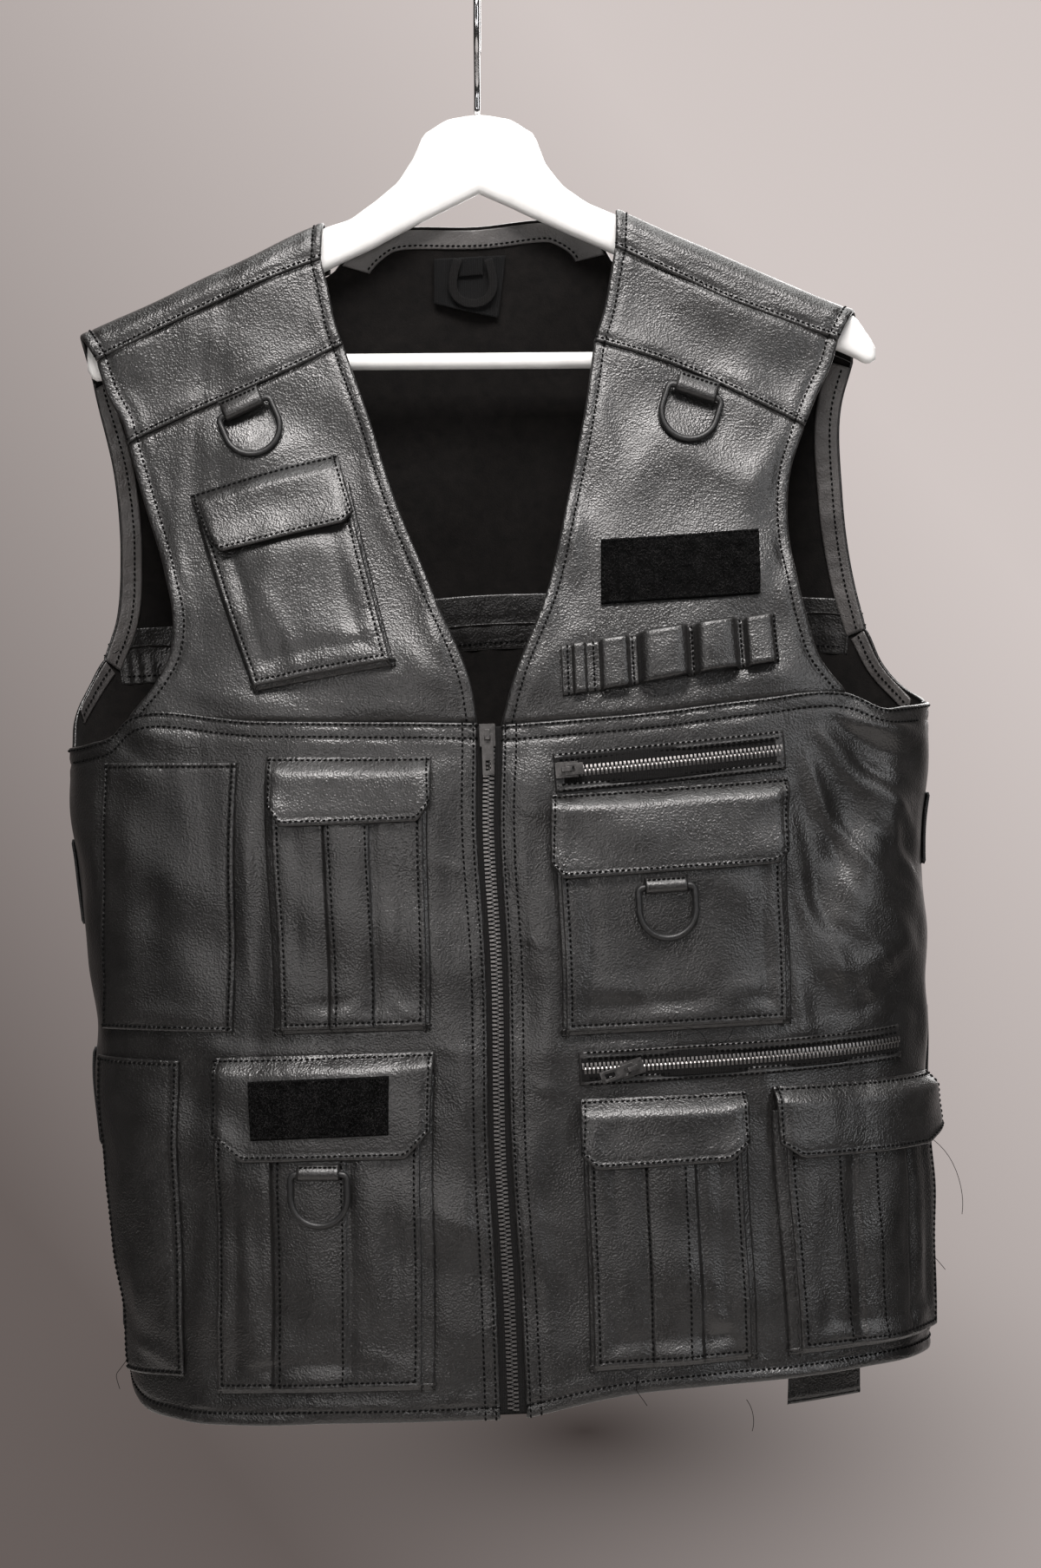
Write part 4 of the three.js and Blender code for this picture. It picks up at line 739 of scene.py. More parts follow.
def noise(tree, place, scale, detail=4.0, rough=0.55, distortion=0.0):
    node = tree.nodes.new("ShaderNodeTexNoise")
    node.inputs["Scale"].default_value = scale
    node.inputs["Detail"].default_value = detail
    node.inputs["Roughness"].default_value = rough
    node.inputs["Distortion"].default_value = distortion
    tree.links.new(place.outputs["Object"], node.inputs["Vector"])
    return node.outputs["Fac"]


def cells(tree, place, scale):
    node = tree.nodes.new("ShaderNodeTexVoronoi")
    node.feature = "SMOOTH_F1"
    node.inputs["Scale"].default_value = scale
    tree.links.new(place.outputs["Object"], node.inputs["Vector"])
    return node.outputs["Distance"]


def ramp(tree, value, low, high, low_color, high_color):
    node = tree.nodes.new("ShaderNodeValToRGB")
    node.color_ramp.elements[0].position = low
    node.color_ramp.elements[0].color = (*low_color, 1)
    node.color_ramp.elements[1].position = high
    node.color_ramp.elements[1].color = (*high_color, 1)
    tree.links.new(value, node.inputs["Fac"])
    return node.outputs["Color"]


def span(tree, value, low, high, to_low, to_high):
    node = tree.nodes.new("ShaderNodeMapRange")
    node.inputs["From Min"].default_value = low
    node.inputs["From Max"].default_value = high
    node.inputs["To Min"].default_value = to_low
    node.inputs["To Max"].default_value = to_high
    tree.links.new(value, node.inputs["Value"])
    return node.outputs["Result"]


def bump(tree, height, depth, strength, before=None):
    node = tree.nodes.new("ShaderNodeBump")
    node.inputs["Distance"].default_value = depth
    node.inputs["Strength"].default_value = strength
    tree.links.new(height, node.inputs["Height"])
    if before is not None:
        tree.links.new(before, node.inputs["Normal"])
    return node.outputs["Normal"]


def leather_material(name, dark, light, low_rough, high_rough, grain=1.0):
    material, tree, shader, place = node_tree(name)
    patches = noise(tree, place, 22, 3, 0.5, 0.4)
    color = ramp(tree, patches, 0.3, 0.7, dark, light)
    tree.links.new(color, shader.inputs["Base Color"])
    rough = span(tree, noise(tree, place, 60, 4, 0.6, 0.6), 0.3, 0.7, low_rough, high_rough)
    tree.links.new(rough, shader.inputs["Roughness"])
    shader.inputs["Specular IOR Level"].default_value = 0.75
    shader.inputs["Sheen Weight"].default_value = 0.02
    shader.inputs["Sheen Roughness"].default_value = 0.4
    sewn = tree.nodes.new("ShaderNodeAttribute")
    sewn.attribute_type = "GEOMETRY"
    sewn.attribute_name = "near"
    amount = span(tree, sewn.outputs["Fac"], 0, 1, 0.05, 1.0)
    pucker = tree.nodes.new("ShaderNodeMath")
    pucker.operation = "MULTIPLY"
    tree.links.new(noise(tree, place, 170, 3, 0.55, 1.2), pucker.inputs[0])
    tree.links.new(amount, pucker.inputs[1])
    upright = tree.nodes.new("ShaderNodeMapping")
    upright.inputs["Scale"].default_value = (1.0, 1.0, 0.4)
    tree.links.new(place.outputs["Object"], upright.inputs["Vector"])
    soft = noise(tree, place, 16, 2, 0.4, 0.7)
    tree.links.new(upright.outputs["Vector"], soft.node.inputs["Vector"])
    waves = bump(tree, soft, 0.008, 0.5)
    wrinkles = bump(tree, pucker.outputs["Value"], 0.001, 0.55 * grain, waves)
    lines = bump(tree, noise(tree, place, 70, 2, 0.5, 2.0), 0.0009, 0.13 * grain, wrinkles)
    pebbles = bump(tree, cells(tree, place, 1000), 0.0004, 0.62 * grain, lines)
    pores = bump(tree, noise(tree, place, 900, 3, 0.6), 0.0003, 0.42 * grain, pebbles)
    tree.links.new(pores, shader.inputs["Normal"])
    return material


def suede_material(name, dark, light, gloss=0.12, sheen=0.04):
    material, tree, shader, place = node_tree(name)
    color = ramp(tree, noise(tree, place, 160, 6, 0.7, 0.5), 0.3, 0.72, dark, light)
    tree.links.new(color, shader.inputs["Base Color"])
    shader.inputs["Roughness"].default_value = 0.95
    shader.inputs["Specular IOR Level"].default_value = gloss
    shader.inputs["Sheen Weight"].default_value = sheen
    shader.inputs["Sheen Roughness"].default_value = 0.6
    nap = bump(tree, noise(tree, place, 900, 4, 0.7), 0.0006, 0.6)
    tree.links.new(nap, shader.inputs["Normal"])
    return material


def woven_material(name, dark, light, pitch, rough, across="Z", gloss=0.4):
    """Cloth with fine ribs; the ribs run along the other directions than the one named."""
    material, tree, shader, place = node_tree(name)
    waves = []
    for axis in ("Z", "X"):
        node = tree.nodes.new("ShaderNodeTexWave")
        node.wave_type = "BANDS"
        node.bands_direction = axis
        node.inputs["Scale"].default_value = 0.314 / pitch * (1.0 if axis == across else 0.6)
        node.inputs["Distortion"].default_value = 0.6
        node.inputs["Detail Scale"].default_value = 2.0
        tree.links.new(place.outputs["Object"], node.inputs["Vector"])
        waves.append(node.outputs["Fac"])
    both = tree.nodes.new("ShaderNodeMath")
    both.operation = "MULTIPLY"
    tree.links.new(waves[0], both.inputs[0])
    tree.links.new(waves[1], both.inputs[1])
    color = ramp(tree, both.outputs["Value"], 0.1, 0.8, dark, light)
    tree.links.new(color, shader.inputs["Base Color"])
    shader.inputs["Roughness"].default_value = rough
    shader.inputs["Specular IOR Level"].default_value = gloss
    shader.inputs["Sheen Weight"].default_value = 0.02
    relief = bump(tree, both.outputs["Value"], 0.0004, 0.8)
    fuzz = bump(tree, noise(tree, place, 1500, 2, 0.6), 0.0002, 0.5, relief)
    tree.links.new(fuzz, shader.inputs["Normal"])
    return material


def solid_material(name, dark, light, low_rough, high_rough, metal, relief, scale, coat=0.0):
    material, tree, shader, place = node_tree(name)
    spots = noise(tree, place, scale, 5, 0.6, 0.2)
    tree.links.new(ramp(tree, spots, 0.3, 0.7, dark, light), shader.inputs["Base Color"])
    rough = span(tree, noise(tree, place, scale * 2.3, 4, 0.6), 0.3, 0.7, low_rough, high_rough)
    tree.links.new(rough, shader.inputs["Roughness"])
    shader.inputs["Metallic"].default_value = metal
    shader.inputs["Coat Weight"].default_value = coat
    shader.inputs["Coat Roughness"].default_value = 0.15
    uneven = bump(tree, noise(tree, place, scale * 3.1, 3, 0.5), relief, 0.4)
    tree.links.new(uneven, shader.inputs["Normal"])
    return material


leather = leather_material("leather", (0.005, 0.0047, 0.0046), (0.0095, 0.0088, 0.0085), 0.28, 0.42)
leather_edge = leather_material(
    "leather_edge", (0.006, 0.0056, 0.0056), (0.012, 0.011, 0.0107), 0.34, 0.48, 0.7)
# The facings' leather is painted far lighter than the black leather. This is painted light, so the facings,
# which lie in shade inside the back, read bright.
facing_leather_painted_light = leather_material(
    "facing_leather_painted_light", (0.045, 0.042, 0.0415), (0.09, 0.084, 0.081), 0.36, 0.5, 0.8)
suede = suede_material("suede", (0.0022, 0.0019, 0.0018), (0.0085, 0.0072, 0.0066))
thread = woven_material("thread", (0.0015, 0.0015, 0.0015), (0.005, 0.005, 0.005), 0.0005, 0.6, gloss=0.05)
webbing_cloth = woven_material("webbing", (0.006, 0.006, 0.0065), (0.03, 0.03, 0.031), 0.0011, 0.75)
tape_cloth = woven_material(
    "zip_tape", (0.003, 0.0028, 0.0028), (0.012, 0.011, 0.011), 0.0006, 0.85, gloss=0.2)
label_cloth = woven_material(
    "label_cloth", (0.002, 0.002, 0.0022), (0.006, 0.006, 0.0064), 0.0005, 0.6, gloss=0.15)
fuzz_cloth = suede_material("hook_and_loop", (0.001, 0.001, 0.001), (0.006, 0.006, 0.006), 0.03, 0.0)
fibre_cloth = suede_material(
    "hook_and_loop_fibres", (0.004, 0.004, 0.004), (0.045, 0.043, 0.043), 0.06, 0.0)
tooth_metal = solid_material(
    "zip_teeth", (0.15, 0.143, 0.14), (0.25, 0.24, 0.235), 0.3, 0.42, 0.95, 0.0001, 700)
pull_metal = solid_material(
    "zip_pull", (0.06, 0.058, 0.057), (0.11, 0.106, 0.104), 0.3, 0.45, 0.9, 0.0001, 500)
ring_paint = solid_material(
    "ring_paint", (0.006, 0.006, 0.006), (0.014, 0.014, 0.0145), 0.36, 0.5, 0.0, 0.0001, 350)
white_paint = solid_material(
    "white_paint", (0.82, 0.815, 0.8), (0.9, 0.897, 0.885), 0.3, 0.42, 0.0, 0.0002, 90, 0.15)
chrome = solid_material("chrome", (0.5, 0.5, 0.51), (0.66, 0.66, 0.67), 0.1, 0.2, 1.0, 0.00004, 400)


def hoop_faces(hoops, sides, closed=False, turned=False):
    """Faces between hoops of points that follow each other; turned faces look the other way."""
    faces = []
    for i in range(hoops if closed else hoops - 1):
        j = (i + 1) % hoops
        for k in range(sides):
            n = (k + 1) % sides
            if turned:
                faces.append((i * sides + k, j * sides + k, j * sides + n, i * sides + n))
            else:
                faces.append((i * sides + k, i * sides + n, j * sides + n, j * sides + k))
    return faces


def end_caps(hoops, sides):
    return [tuple(range(sides - 1, -1, -1)), tuple((hoops - 1) * sides + k for k in range(sides))]


def capsule():
    """The shape of one stitch along x, one unit long and one unit in radius."""
    sides = 5
    hoops = [(-0.5, 0.3), (-0.25, 1.0), (0.25, 1.0), (0.5, 0.3)]
    points = []
    for at, size in hoops:
        for k in range(sides):
            angle = 2 * math.pi * k / sides
            points.append((at, size * math.cos(angle), size * math.sin(angle)))
    faces = hoop_faces(len(hoops), sides, turned=True)
    faces.append(tuple(range(sides)))
    faces.append(tuple(len(points) - 1 - k for k in range(sides)))
    return np.array(points), faces


def resample(points, ways, pitch):
    """Evenly spaced places on a line, with the direction along it and the outward direction at each."""
    run = run_along(points)
    count = max(int(run[-1] / pitch), 1)
    at = (np.arange(count) + 0.5) * run[-1] / count
    ahead = at_length(np.minimum(at + 0.4, run[-1]), run, points)
    behind = at_length(np.maximum(at - 0.4, 0), run, points)
    return at_length(at, run, points), unit(ahead - behind), unit(at_length(at, run, ways))


def stitches(name, rows, pitch=STITCH_PITCH):
    """Rows of single stitches that lie half sunk along lines of the leather."""
    shape, shape_faces = capsule()
    points = []
    faces = []
    start = 0
    for line, ways in rows:
        spots, along, normal = resample(line, ways, pitch)
        normal = unit(normal - along * np.sum(normal * along, axis=1, keepdims=True))
        side = np.cross(normal, along)
        tilt = random_numbers.normal(0.1, 0.05, len(spots))[:, None]
        along = unit(along + side * tilt)
        side = np.cross(normal, along)
        for spot, t, s, n in zip(spots, along, side, normal):
            placed = spot + n * (STITCH_RADIUS * 0.55 - STITCH_SINK)
            placed = placed + shape[:, :1] * STITCH_SIZE * t + shape[:, 1:2] * STITCH_RADIUS * s
            points.append(placed + shape[:, 2:] * STITCH_RADIUS * n)
            faces.extend([tuple(i + start for i in face) for face in shape_faces])
            start += len(shape)
    piece = make_object(name, np.concatenate(points), faces, thread)


def stitch_rows(name, grid, rows):
    """Stitches along borders of a grid; a row is a border, the distance from it and the shares it spans."""
    stitches(name, [inset_line(grid, *row) for row in rows])


def tube(path, radius, sides, closed=False, hint=(0, 1, 0)):
    """Points and faces of a round wire along a path."""
    path = np.asarray(path, float)
    count = len(path)
    if closed:
        ahead = np.roll(path, -1, axis=0)
        behind = np.roll(path, 1, axis=0)
    else:
        ahead = np.concatenate([path[1:], path[-1:]])
        behind = np.concatenate([path[:1], path[:-1]])
    along = unit(ahead - behind)
    normal = unit(np.asarray(hint, float) - along * (along @ np.asarray(hint, float))[:, None])
    side = np.cross(along, normal)
    points = []
    for k in range(sides):
        angle = 2 * math.pi * k / sides
        points.append(path + (normal * math.cos(angle) + side * math.sin(angle)) * radius)
    points = np.stack(points, axis=1).reshape(-1, 3)
    faces = hoop_faces(count, sides, closed)
    if not closed:
        faces += end_caps(count, sides)
    return points, faces


def charted(face, points):
    """Places given by x and z, as places of the chart."""
    table = np.array(points, float)
    return np.stack([chart(face, table[:, 0], table[:, 1]), table[:, 1]], axis=1)


def panel_grid(spec, step):
    """The outer skin of a panel with its finished borders, and how near each point is to a border."""
    face, top, bottom, first, last, kinds, rows = spec
    lines = [smooth_line(charted(face, points), METRIC_U) for points in (top, bottom, first, last)]
    width = (line_size(lines[0]) + line_size(lines[1])) / 2
    height = (line_size(lines[2]) + line_size(lines[3])) / 2
    row_gaps = {side: [row[1] for row in rows if row[0] == side] for side in BORDERS}
    across = shares_of(width, step, row_gaps["first"], row_gaps["last"])
    down = shares_of(height, step, row_gaps["top"], row_gaps["bottom"])
    flat = coons(*lines, across, down)
    grid = skin(flat[..., 0], flat[..., 1])
    span_to = distances(grid)
    high = 0
    for side, kind in zip(BORDERS, kinds):
        along = span_to["first"] if side in ("top", "bottom") else span_to["top"]
        high = high + edge_height(kind, span_to[side], along, row_gaps[side])
    return grid + normals_of(grid) * high[..., None], nearness(list(span_to.values()))


def build_panels():
    for name, spec in PANELS.items():
        grid, near = panel_grid(spec, FRONT_STEP if spec[0] == "front" else BACK_STEP)
        rests_on = ["hanger"] if "upper" in name or "yoke" in name else []
        place_sheet(name + "_leather", name, grid, HIDE, leather, "hung", rests_on,
                    inside=suede, near=near)
        stitch_rows(name + "_stitches", grid, spec[6])


def shoulder_place(x, run):
    """A place over the hanger; run is the way from the ridge, towards the front where it is negative."""
    quarter = ARCH * math.pi / 2
    size = np.abs(run)
    round_part = ARCH * (1 - np.cos(np.minimum(size, quarter) / ARCH))
    below = np.where(size < quarter, round_part, ARCH + size - quarter)
    z = shoulder_at(x) - below
    left = section_at(z, "left")
    right = section_at(z, "right")
    s = np.clip(np.abs(2 * x - right - left) / (right - left), 0, 1)
    depth = depth_at(run < 0, x, z, (1 - s ** POWER) ** (1 / POWER))
    return np.stack([x, np.where(run < 0, -depth, depth), z], axis=-1)


def over_ridge(points, sign):
    """Places given by x and z, as x and the way from the ridge."""
    table = np.array(points, float)
    below = shoulder_at(table[:, 0]) - table[:, 1]
    round_part = ARCH * np.arccos(np.clip(1 - below / ARCH, -1, 1))
    run = np.where(below < ARCH, round_part, below - ARCH + ARCH * np.pi / 2)
    return np.stack([table[:, 0], sign * run], axis=1)


def build_shoulders():
    for name, (front, back, first_top, last_top) in SHOULDER_PIECES.items():
        low = over_ridge(front, -1)
        high = over_ridge(back, 1)
        lines = [smooth_line(low), smooth_line(high)]
        for k, top in ((0, first_top), (-1, last_top)):
            lines.append(smooth_line([low[k], (top, 0), high[k]]))
        rows = SHOULDER_ROWS
        across = shares_of(line_size(lines[0], 1), FRONT_STEP, [rows["first"]], [rows["last"]])
        down = shares_of(line_size(lines[2], 1), 2.2, [rows["top"]], [rows["bottom"]])
        flat = coons(*lines, across, down)
        grid = shoulder_place(flat[..., 0], flat[..., 1])
        span_to = distances(grid)
        relief = 0
        for side in BORDERS:
            if side in ("top", "bottom"):
                relief = relief + edge_height("over", span_to[side], flat[..., 0], [rows[side]])
            else:
                relief = relief + edge_height("turned", span_to[side], flat[..., 1] * 1.3, [rows[side]])
        relief = relief + 0.35 * np.sin(flat[..., 0] / 9) * np.sin(flat[..., 1] / 11 + 1)
        grid = grid - normals_of(grid) * relief[..., None]
        grid = grid[::-1]
        near = nearness(list(distances(grid).values()))
        place_sheet(name + "_leather", name, grid, HIDE, leather, "draped", ["hanger"],
                    inside=suede, near=near)
        stitch_rows(name + "_stitches", grid, rows.items())


def gusset(flare):
    """From the panel to the edge of a pocket's face: distances outside it, with shares of the height."""
    return [(flare, 0.0), (flare + 0.4, 0.14), (flare + 0.3, 0.27), (flare * 0.8, 0.36),
            (flare * 0.3 - 0.6, 0.42), (-0.7, 0.5), (-0.3, 0.6), (0.35, 0.72), (0.5, 0.84), (0.25, 0.94),
            (-POCKET_LIP, 1.0)]


def lattice(size, step, marks):
    """Places from 1.4 mm inside one border to 1.4 mm inside the other, close together near the marks."""
    wanted = [1.4, 2.6, size - 2.6, size - 1.4]
    for mark in marks:
        wanted += [mark - 0.9, mark, mark + 0.9]
    wanted = sorted(w for w in wanted if 1.4 <= w <= size - 1.4)
    filled = [wanted[0]]
    for mark in wanted[1:]:
        gap = mark - filled[-1]
        if gap < 0.3:
            continue
        pieces = max(1, int(math.ceil(gap / step)))
        for _ in range(pieces):
            filled.append(filled[-1] + gap / pieces)
    return filled


def blend4(corners, s, t):
    """A place between four corners at shares of the width and the height."""
    c = np.array(corners, float)
    s = s[..., None]
    t = t[..., None]
    return (1 - t) * ((1 - s) * c[0] + s * c[1]) + t * ((1 - s) * c[3] + s * c[2])


def soft_step(x, low, high):
    t = np.clip((x - low) / (high - low), 0, 1)
    return t * t * (3 - 2 * t)


def dip(distance, width):
    """From 0 to 1: a soft line where the distance is zero."""
    return np.exp(-(distance / width) ** 2)


def scaled(creases, width, height):
    """Creases given as shares of a piece's width and height, in millimetres."""
    return [(a * width, b * height, c * width, d * height, w, o, k) for a, b, c, d, w, o, k in creases]


def strip_relief(s_mm, low, high):
    """The raised strip down the middle of a pocket: rounded, with a groove at each row and beside it."""
    raised = soft_step(s_mm, low - 0.8, low + 0.8) * (1 - soft_step(s_mm, high - 0.8, high + 0.8))
    middle = np.clip(1 - ((s_mm - (low + high) / 2) / ((high - low) / 2)) ** 2, 0, 1)
    return [raised * (1.1 + 0.8 * middle),
            -0.35 * dip(s_mm - (low + 2.4), 1.0), -0.35 * dip(s_mm - (high - 2.4), 1.0),
            -0.9 * dip(s_mm - (low - 1.6), 2.2), -0.9 * dip(s_mm - (high + 1.6), 2.2)]


def pocket_top(number, name, s_mm, t_mm, width, height, strip):
    """How far the pressed face of a pocket stands out from the leather under it."""
    inside_s = np.clip(s_mm / width, 0, 1)
    inside_t = np.clip(t_mm / height, 0, 1)
    top = POCKET_HEIGHT + 1.0 * np.sin(np.pi * inside_s) ** 0.6 * np.sin(np.pi * (0.12 + 0.82 * inside_t))
    if strip:
        for part in strip_relief(s_mm, strip[0] * width, strip[1] * width):
            top = top + part
    inward = np.minimum(np.minimum(s_mm, width - s_mm), height - t_mm)
    uneven = 0.65 + 0.35 * np.sin(s_mm / 11.0 + number) * np.sin(t_mm / 14.0 + 2.1 * number)
    top = top - 1.1 * uneven * dip(inward - 13.0, 4.2)
    top = top + 1.2 * uneven * soft_step(-inward, -12.0, -3.0) * soft_step(t_mm, 0.3 * height, 0.9 * height)
    top = top - 0.3 * dip(inward - POCKET_ROW, 1.0)
    top = top + crease_sum(scaled(POCKET_CREASES[name], width, height), s_mm, t_mm)
    return top + 0.3 * np.sin(s_mm / 7.0 + number) * np.sin(t_mm / 9.0 + 2 * number), inward


def build_pockets():
    for number, (name, points, flare_l, flare_r, strip, panel) in enumerate(POCKET_BODIES):
        width = math.dist(points[0], points[1])
        height = math.dist(points[0], points[3])
        marks = [POCKET_ROW, width - POCKET_ROW, 13, width - 13]
        for edge in strip or ():
            marks += [edge * width - 1.2, edge * width + 1.2]
        cols = [(-far, share) for far, share in gusset(flare_l)]
        cols += [(s, 1.0) for s in lattice(width, POCKET_STEP, marks)]
        cols += [(width + far, share) for far, share in reversed(gusset(flare_r))]
        downs = lattice(height, POCKET_STEP, [height - POCKET_ROW, height - 13])
        rows = [(t, 1.0) for t in [0, 0.4, 1.2] + downs]
        rows += [(height + far, share) for far, share in reversed(gusset(2.4))]
        s_mm = np.array([c[0] for c in cols])[None, :] * np.ones((len(rows), 1))
        t_mm = np.array([r[0] for r in rows])[:, None] * np.ones((1, len(cols)))
        share = np.array([c[1] for c in cols])[None, :] * np.array([r[1] for r in rows])[:, None]
        top, inward = pocket_top(number, name, s_mm, t_mm, width, height, strip)
        place = blend4(charted("front", points), s_mm / width, t_mm / height)
        grid = skin(place[..., 0], place[..., 1], RIM * (1 - share) + top * share)
        near = nearness([np.abs(inward) + 1.0])
        place_sheet(name + "_leather", name, grid, 1.3, leather, "stretched", [panel + "_leather"], near=near)
        inner = np.array([k for k, c in enumerate(cols) if c[1] == 1.0])
        down = np.array([k for k, r in enumerate(rows) if r[1] == 1.0])
        face = grid[np.ix_(down, inner)]
        far = POCKET_ROW - POCKET_LIP
        lines = [("first", far, 0.02, 0.975), ("last", far, 0.02, 0.975), ("bottom", far, 0.025, 0.975)]
        if strip:
            lines += [("first", strip[0] * width + 1.9, 0.0, 1.0),
                      ("first", strip[1] * width - 2.9, 0.0, 1.0)]
        stitch_rows(name + "_stitches", face, lines)


def build_flaps():
    for number, (name, top_points, low_points) in enumerate(FLAPS):
        top = smooth_line(charted("front", top_points), METRIC_U)
        low_corner = charted("front", low_points)
        dense = [np.linspace(a, b, 12, endpoint=False) for a, b in zip(low_corner[:-1], low_corner[1:])]
        low = np.concatenate(dense + [low_corner[-1:]])
        first = np.linspace(top[0], low[0], 30)
        last = np.linspace(top[-1], low[-1], 30)
        width = (line_size(top) + line_size(low)) / 2
        height = float((line_size(first) + line_size(last)) / 2)
        across = shares_of(width, 2.2, [FLAP_ROW], [FLAP_ROW])
        down = shares_of(height, 1.6, [], [FLAP_ROW])
        flat = coons(top, low, first, last, across, down)
        far = down[:, None] * height + 0 * across[None, :]
        rise = np.sin(np.pi / 2 * np.clip(far / FLAP_BEND, 0, 1)) ** 1.3
        out = RIM + 0.6 + (FLAP_OVER + 0.7 - RIM) * rise + FLAP_TILT * far / height
        side_l = across[None, :] * width + 0 * far
        side_r = width - side_l
        under = height - far
        for gap in (side_l, side_r):
            out = out - 1.6 * dip(gap, 4.0) * rise
            out = out + 0.15 * dip(gap - 1.5, 1.2) - 0.3 * dip(gap - FLAP_ROW, 1.0)
        out = out - rounded(under, 1.2) - rounded(side_l, 1.2) - rounded(side_r, 1.2)
        out = out + 0.15 * dip(under - 1.5, 1.2) - 0.3 * dip(under - FLAP_ROW, 1.0)
        lift = 1.3 * dip(side_l - 8, 9.0) + 1.1 * dip(side_r - 9, 9.0)
        out = out + lift * soft_step(far, height * 0.5, height)
        wave = np.sin(side_l / 13.0 + number * 1.9) + 0.6 * np.sin(side_l / 6.1 + number)
        out = out + 0.45 * wave * soft_step(far, 4, height)
        out = out + 0.25 * np.sin(far / 4.2 + number) * np.sin(side_l / 17.0 + 2.0 * number)
        grid = skin(flat[..., 0], flat[..., 1], out)
        near = nearness([side_l, side_r, under, far])
        pocket = POCKET_BODIES[number][0] + "_leather"
        place_sheet(name + "_leather", name, grid, 1.5, leather, "hung", [pocket], near=near)
        stitch_rows(name + "_stitches", grid, [
            ("first", FLAP_ROW, 0.04, 0.93), ("last", FLAP_ROW, 0.04, 0.93), ("bottom", FLAP_ROW, 0.03, 0.97),
            ("top", 2.6, 0.02, 0.98)])


def patch_grid(face, points, out, step, radius, edge_rows=()):
    """A flat piece with rounded edges on the leather: its shares, its heights and its size."""
    width = (math.dist(points[0], points[1]) + math.dist(points[3], points[2])) / 2
    height = (math.dist(points[0], points[3]) + math.dist(points[1], points[2])) / 2
    across = shares_of(width, step, edge_rows, edge_rows)
    down = shares_of(height, step, edge_rows, edge_rows)
    s = across[None, :] * np.ones((len(down), 1))
    t = down[:, None] * np.ones((1, len(across)))
    high = out + 0 * s
    for gap in (s * width, (1 - s) * width, t * height, (1 - t) * height):
        high = high - rounded(gap, radius)
        for row in edge_rows:
            high = high - 0.3 * dip(gap - row, 1.0) + 0.15 * dip(gap - row / 2, row / 3)
    return charted(face, points), s, t, high, width, height


def patch_skin(corners, s, t, high):
    place = blend4(corners, s, t)
    return skin(place[..., 0], place[..., 1], high)


def build_flat_pockets():
    for name, points, out, creases in FLAT_POCKETS:
        corners, s, t, high, width, height = patch_grid("front", points, out, 2.5, 1.1, (3.0,))
        relief = crease_sum(scaled(creases, width, height), s * width, t * height)
        high = high + relief * np.sin(np.pi * np.clip(s, 0, 1)) ** 0.5
        grid = patch_skin(corners, s, t, high)
        near = nearness(list(distances(grid).values()))
        place_sheet(name + "_leather", name, grid, 1.4, leather, "stretched", ["front_lower_l_leather"],
                    near=near)
        stitch_rows(name + "_stitches", grid, [(side, 3.0, 0.02, 0.98) for side in ALL_AROUND])


def fibres(name, corners, out, tilt):
    """Short bent fibres all over a patch."""
    s = random_numbers.uniform(0.012, 0.988, FIBRE_COUNT)
    t = random_numbers.uniform(0.03, 0.97, FIBRE_COUNT)
    place = blend4(corners, s, t)
    feet = skin(place[:, 0], place[:, 1], out + tilt * t)
    normal = outwards(place[:, 0], place[:, 1])
    way = unit(np.cross(normal, random_numbers.normal(size=(FIBRE_COUNT, 3))))
    side = np.cross(normal, way)
    tall = random_numbers.uniform(0.5, 1.0, FIBRE_COUNT)[:, None] * FIBRE_SIZE
    lean = random_numbers.uniform(0.3, 1.0, FIBRE_COUNT)[:, None] * FIBRE_SIZE
    points = []
    for k in range(4):
        share = k / 3
        spine = feet + normal * tall * math.sin(math.pi * 0.62 * share) + way * lean * share
        wide = FIBRE_THICK * (1.15 - 0.5 * share)
        for turn in range(3):
            angle = 2 * math.pi * turn / 3
            points.append(spine + side * wide * math.cos(angle) + normal * wide * math.sin(angle))
    points = np.stack(points, axis=1)
    one = hoop_faces(4, 3) + [(9, 10, 11)]
    faces = [tuple(i + 12 * fibre for i in face) for fibre in range(FIBRE_COUNT) for face in one]
    piece = make_object(name, points.reshape(-1, 3), faces, fibre_cloth)


def build_patches():
    for name, points, out, tilt, under in PATCHES:
        corners, s, t, high = patch_grid("front", points, out, 1.6, 0.8)[:4]
        high = high + tilt * t + random_numbers.normal(0, 0.1, s.shape)
        grid = patch_skin(corners, s, t, high)
        place_sheet(name + "_cloth", name, grid, 1.3, fuzz_cloth, "stretched", [under], slot="hook_and_loop")
        fibres(name + "_fuzz", corners, out - 0.15, tilt)
        stitch_rows(name + "_stitches", grid, [(side, 1.6, 0.01, 0.99) for side in ALL_AROUND])


def build_webbing():
    for name, top, bottom, start, end in WEBBING:
        u = np.linspace(start, end, 44)[None, :]
        z = np.linspace(top, bottom, 22)[:, None]
        u = u + 0 * z
        z = z + 0 * u
        far = np.minimum(z - bottom, top - z)
        grid = skin(u, z, 2.4 - rounded(far, 0.9) + 0.25 * np.sin(u * 60))
        leftwards = end < start
        outer = grid[:, ::-1] if leftwards else grid
        piece = shell(name + "_cloth", outer, 1.3, webbing_cloth, slot="webbing")
        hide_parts(name)
        declare(grid)


def build_strap():
    corners, s, t, high = patch_grid("back", STRAP_END, 2.6, 2.6, 1.2, (4.0,))[:4]
    high = high + 0.6 * np.sin(np.pi * t) * np.sin(3 * s)
    grid = patch_skin(corners, s, t, high)
    place_sheet("strap_end_leather", "strap_end", grid, 1.6, leather, "hung", ["back_lower_leather"])
    stitch_rows("strap_end_stitches", grid, [(side, 4.0, 0.03, 0.97) for side in ALL_AROUND[:3]])


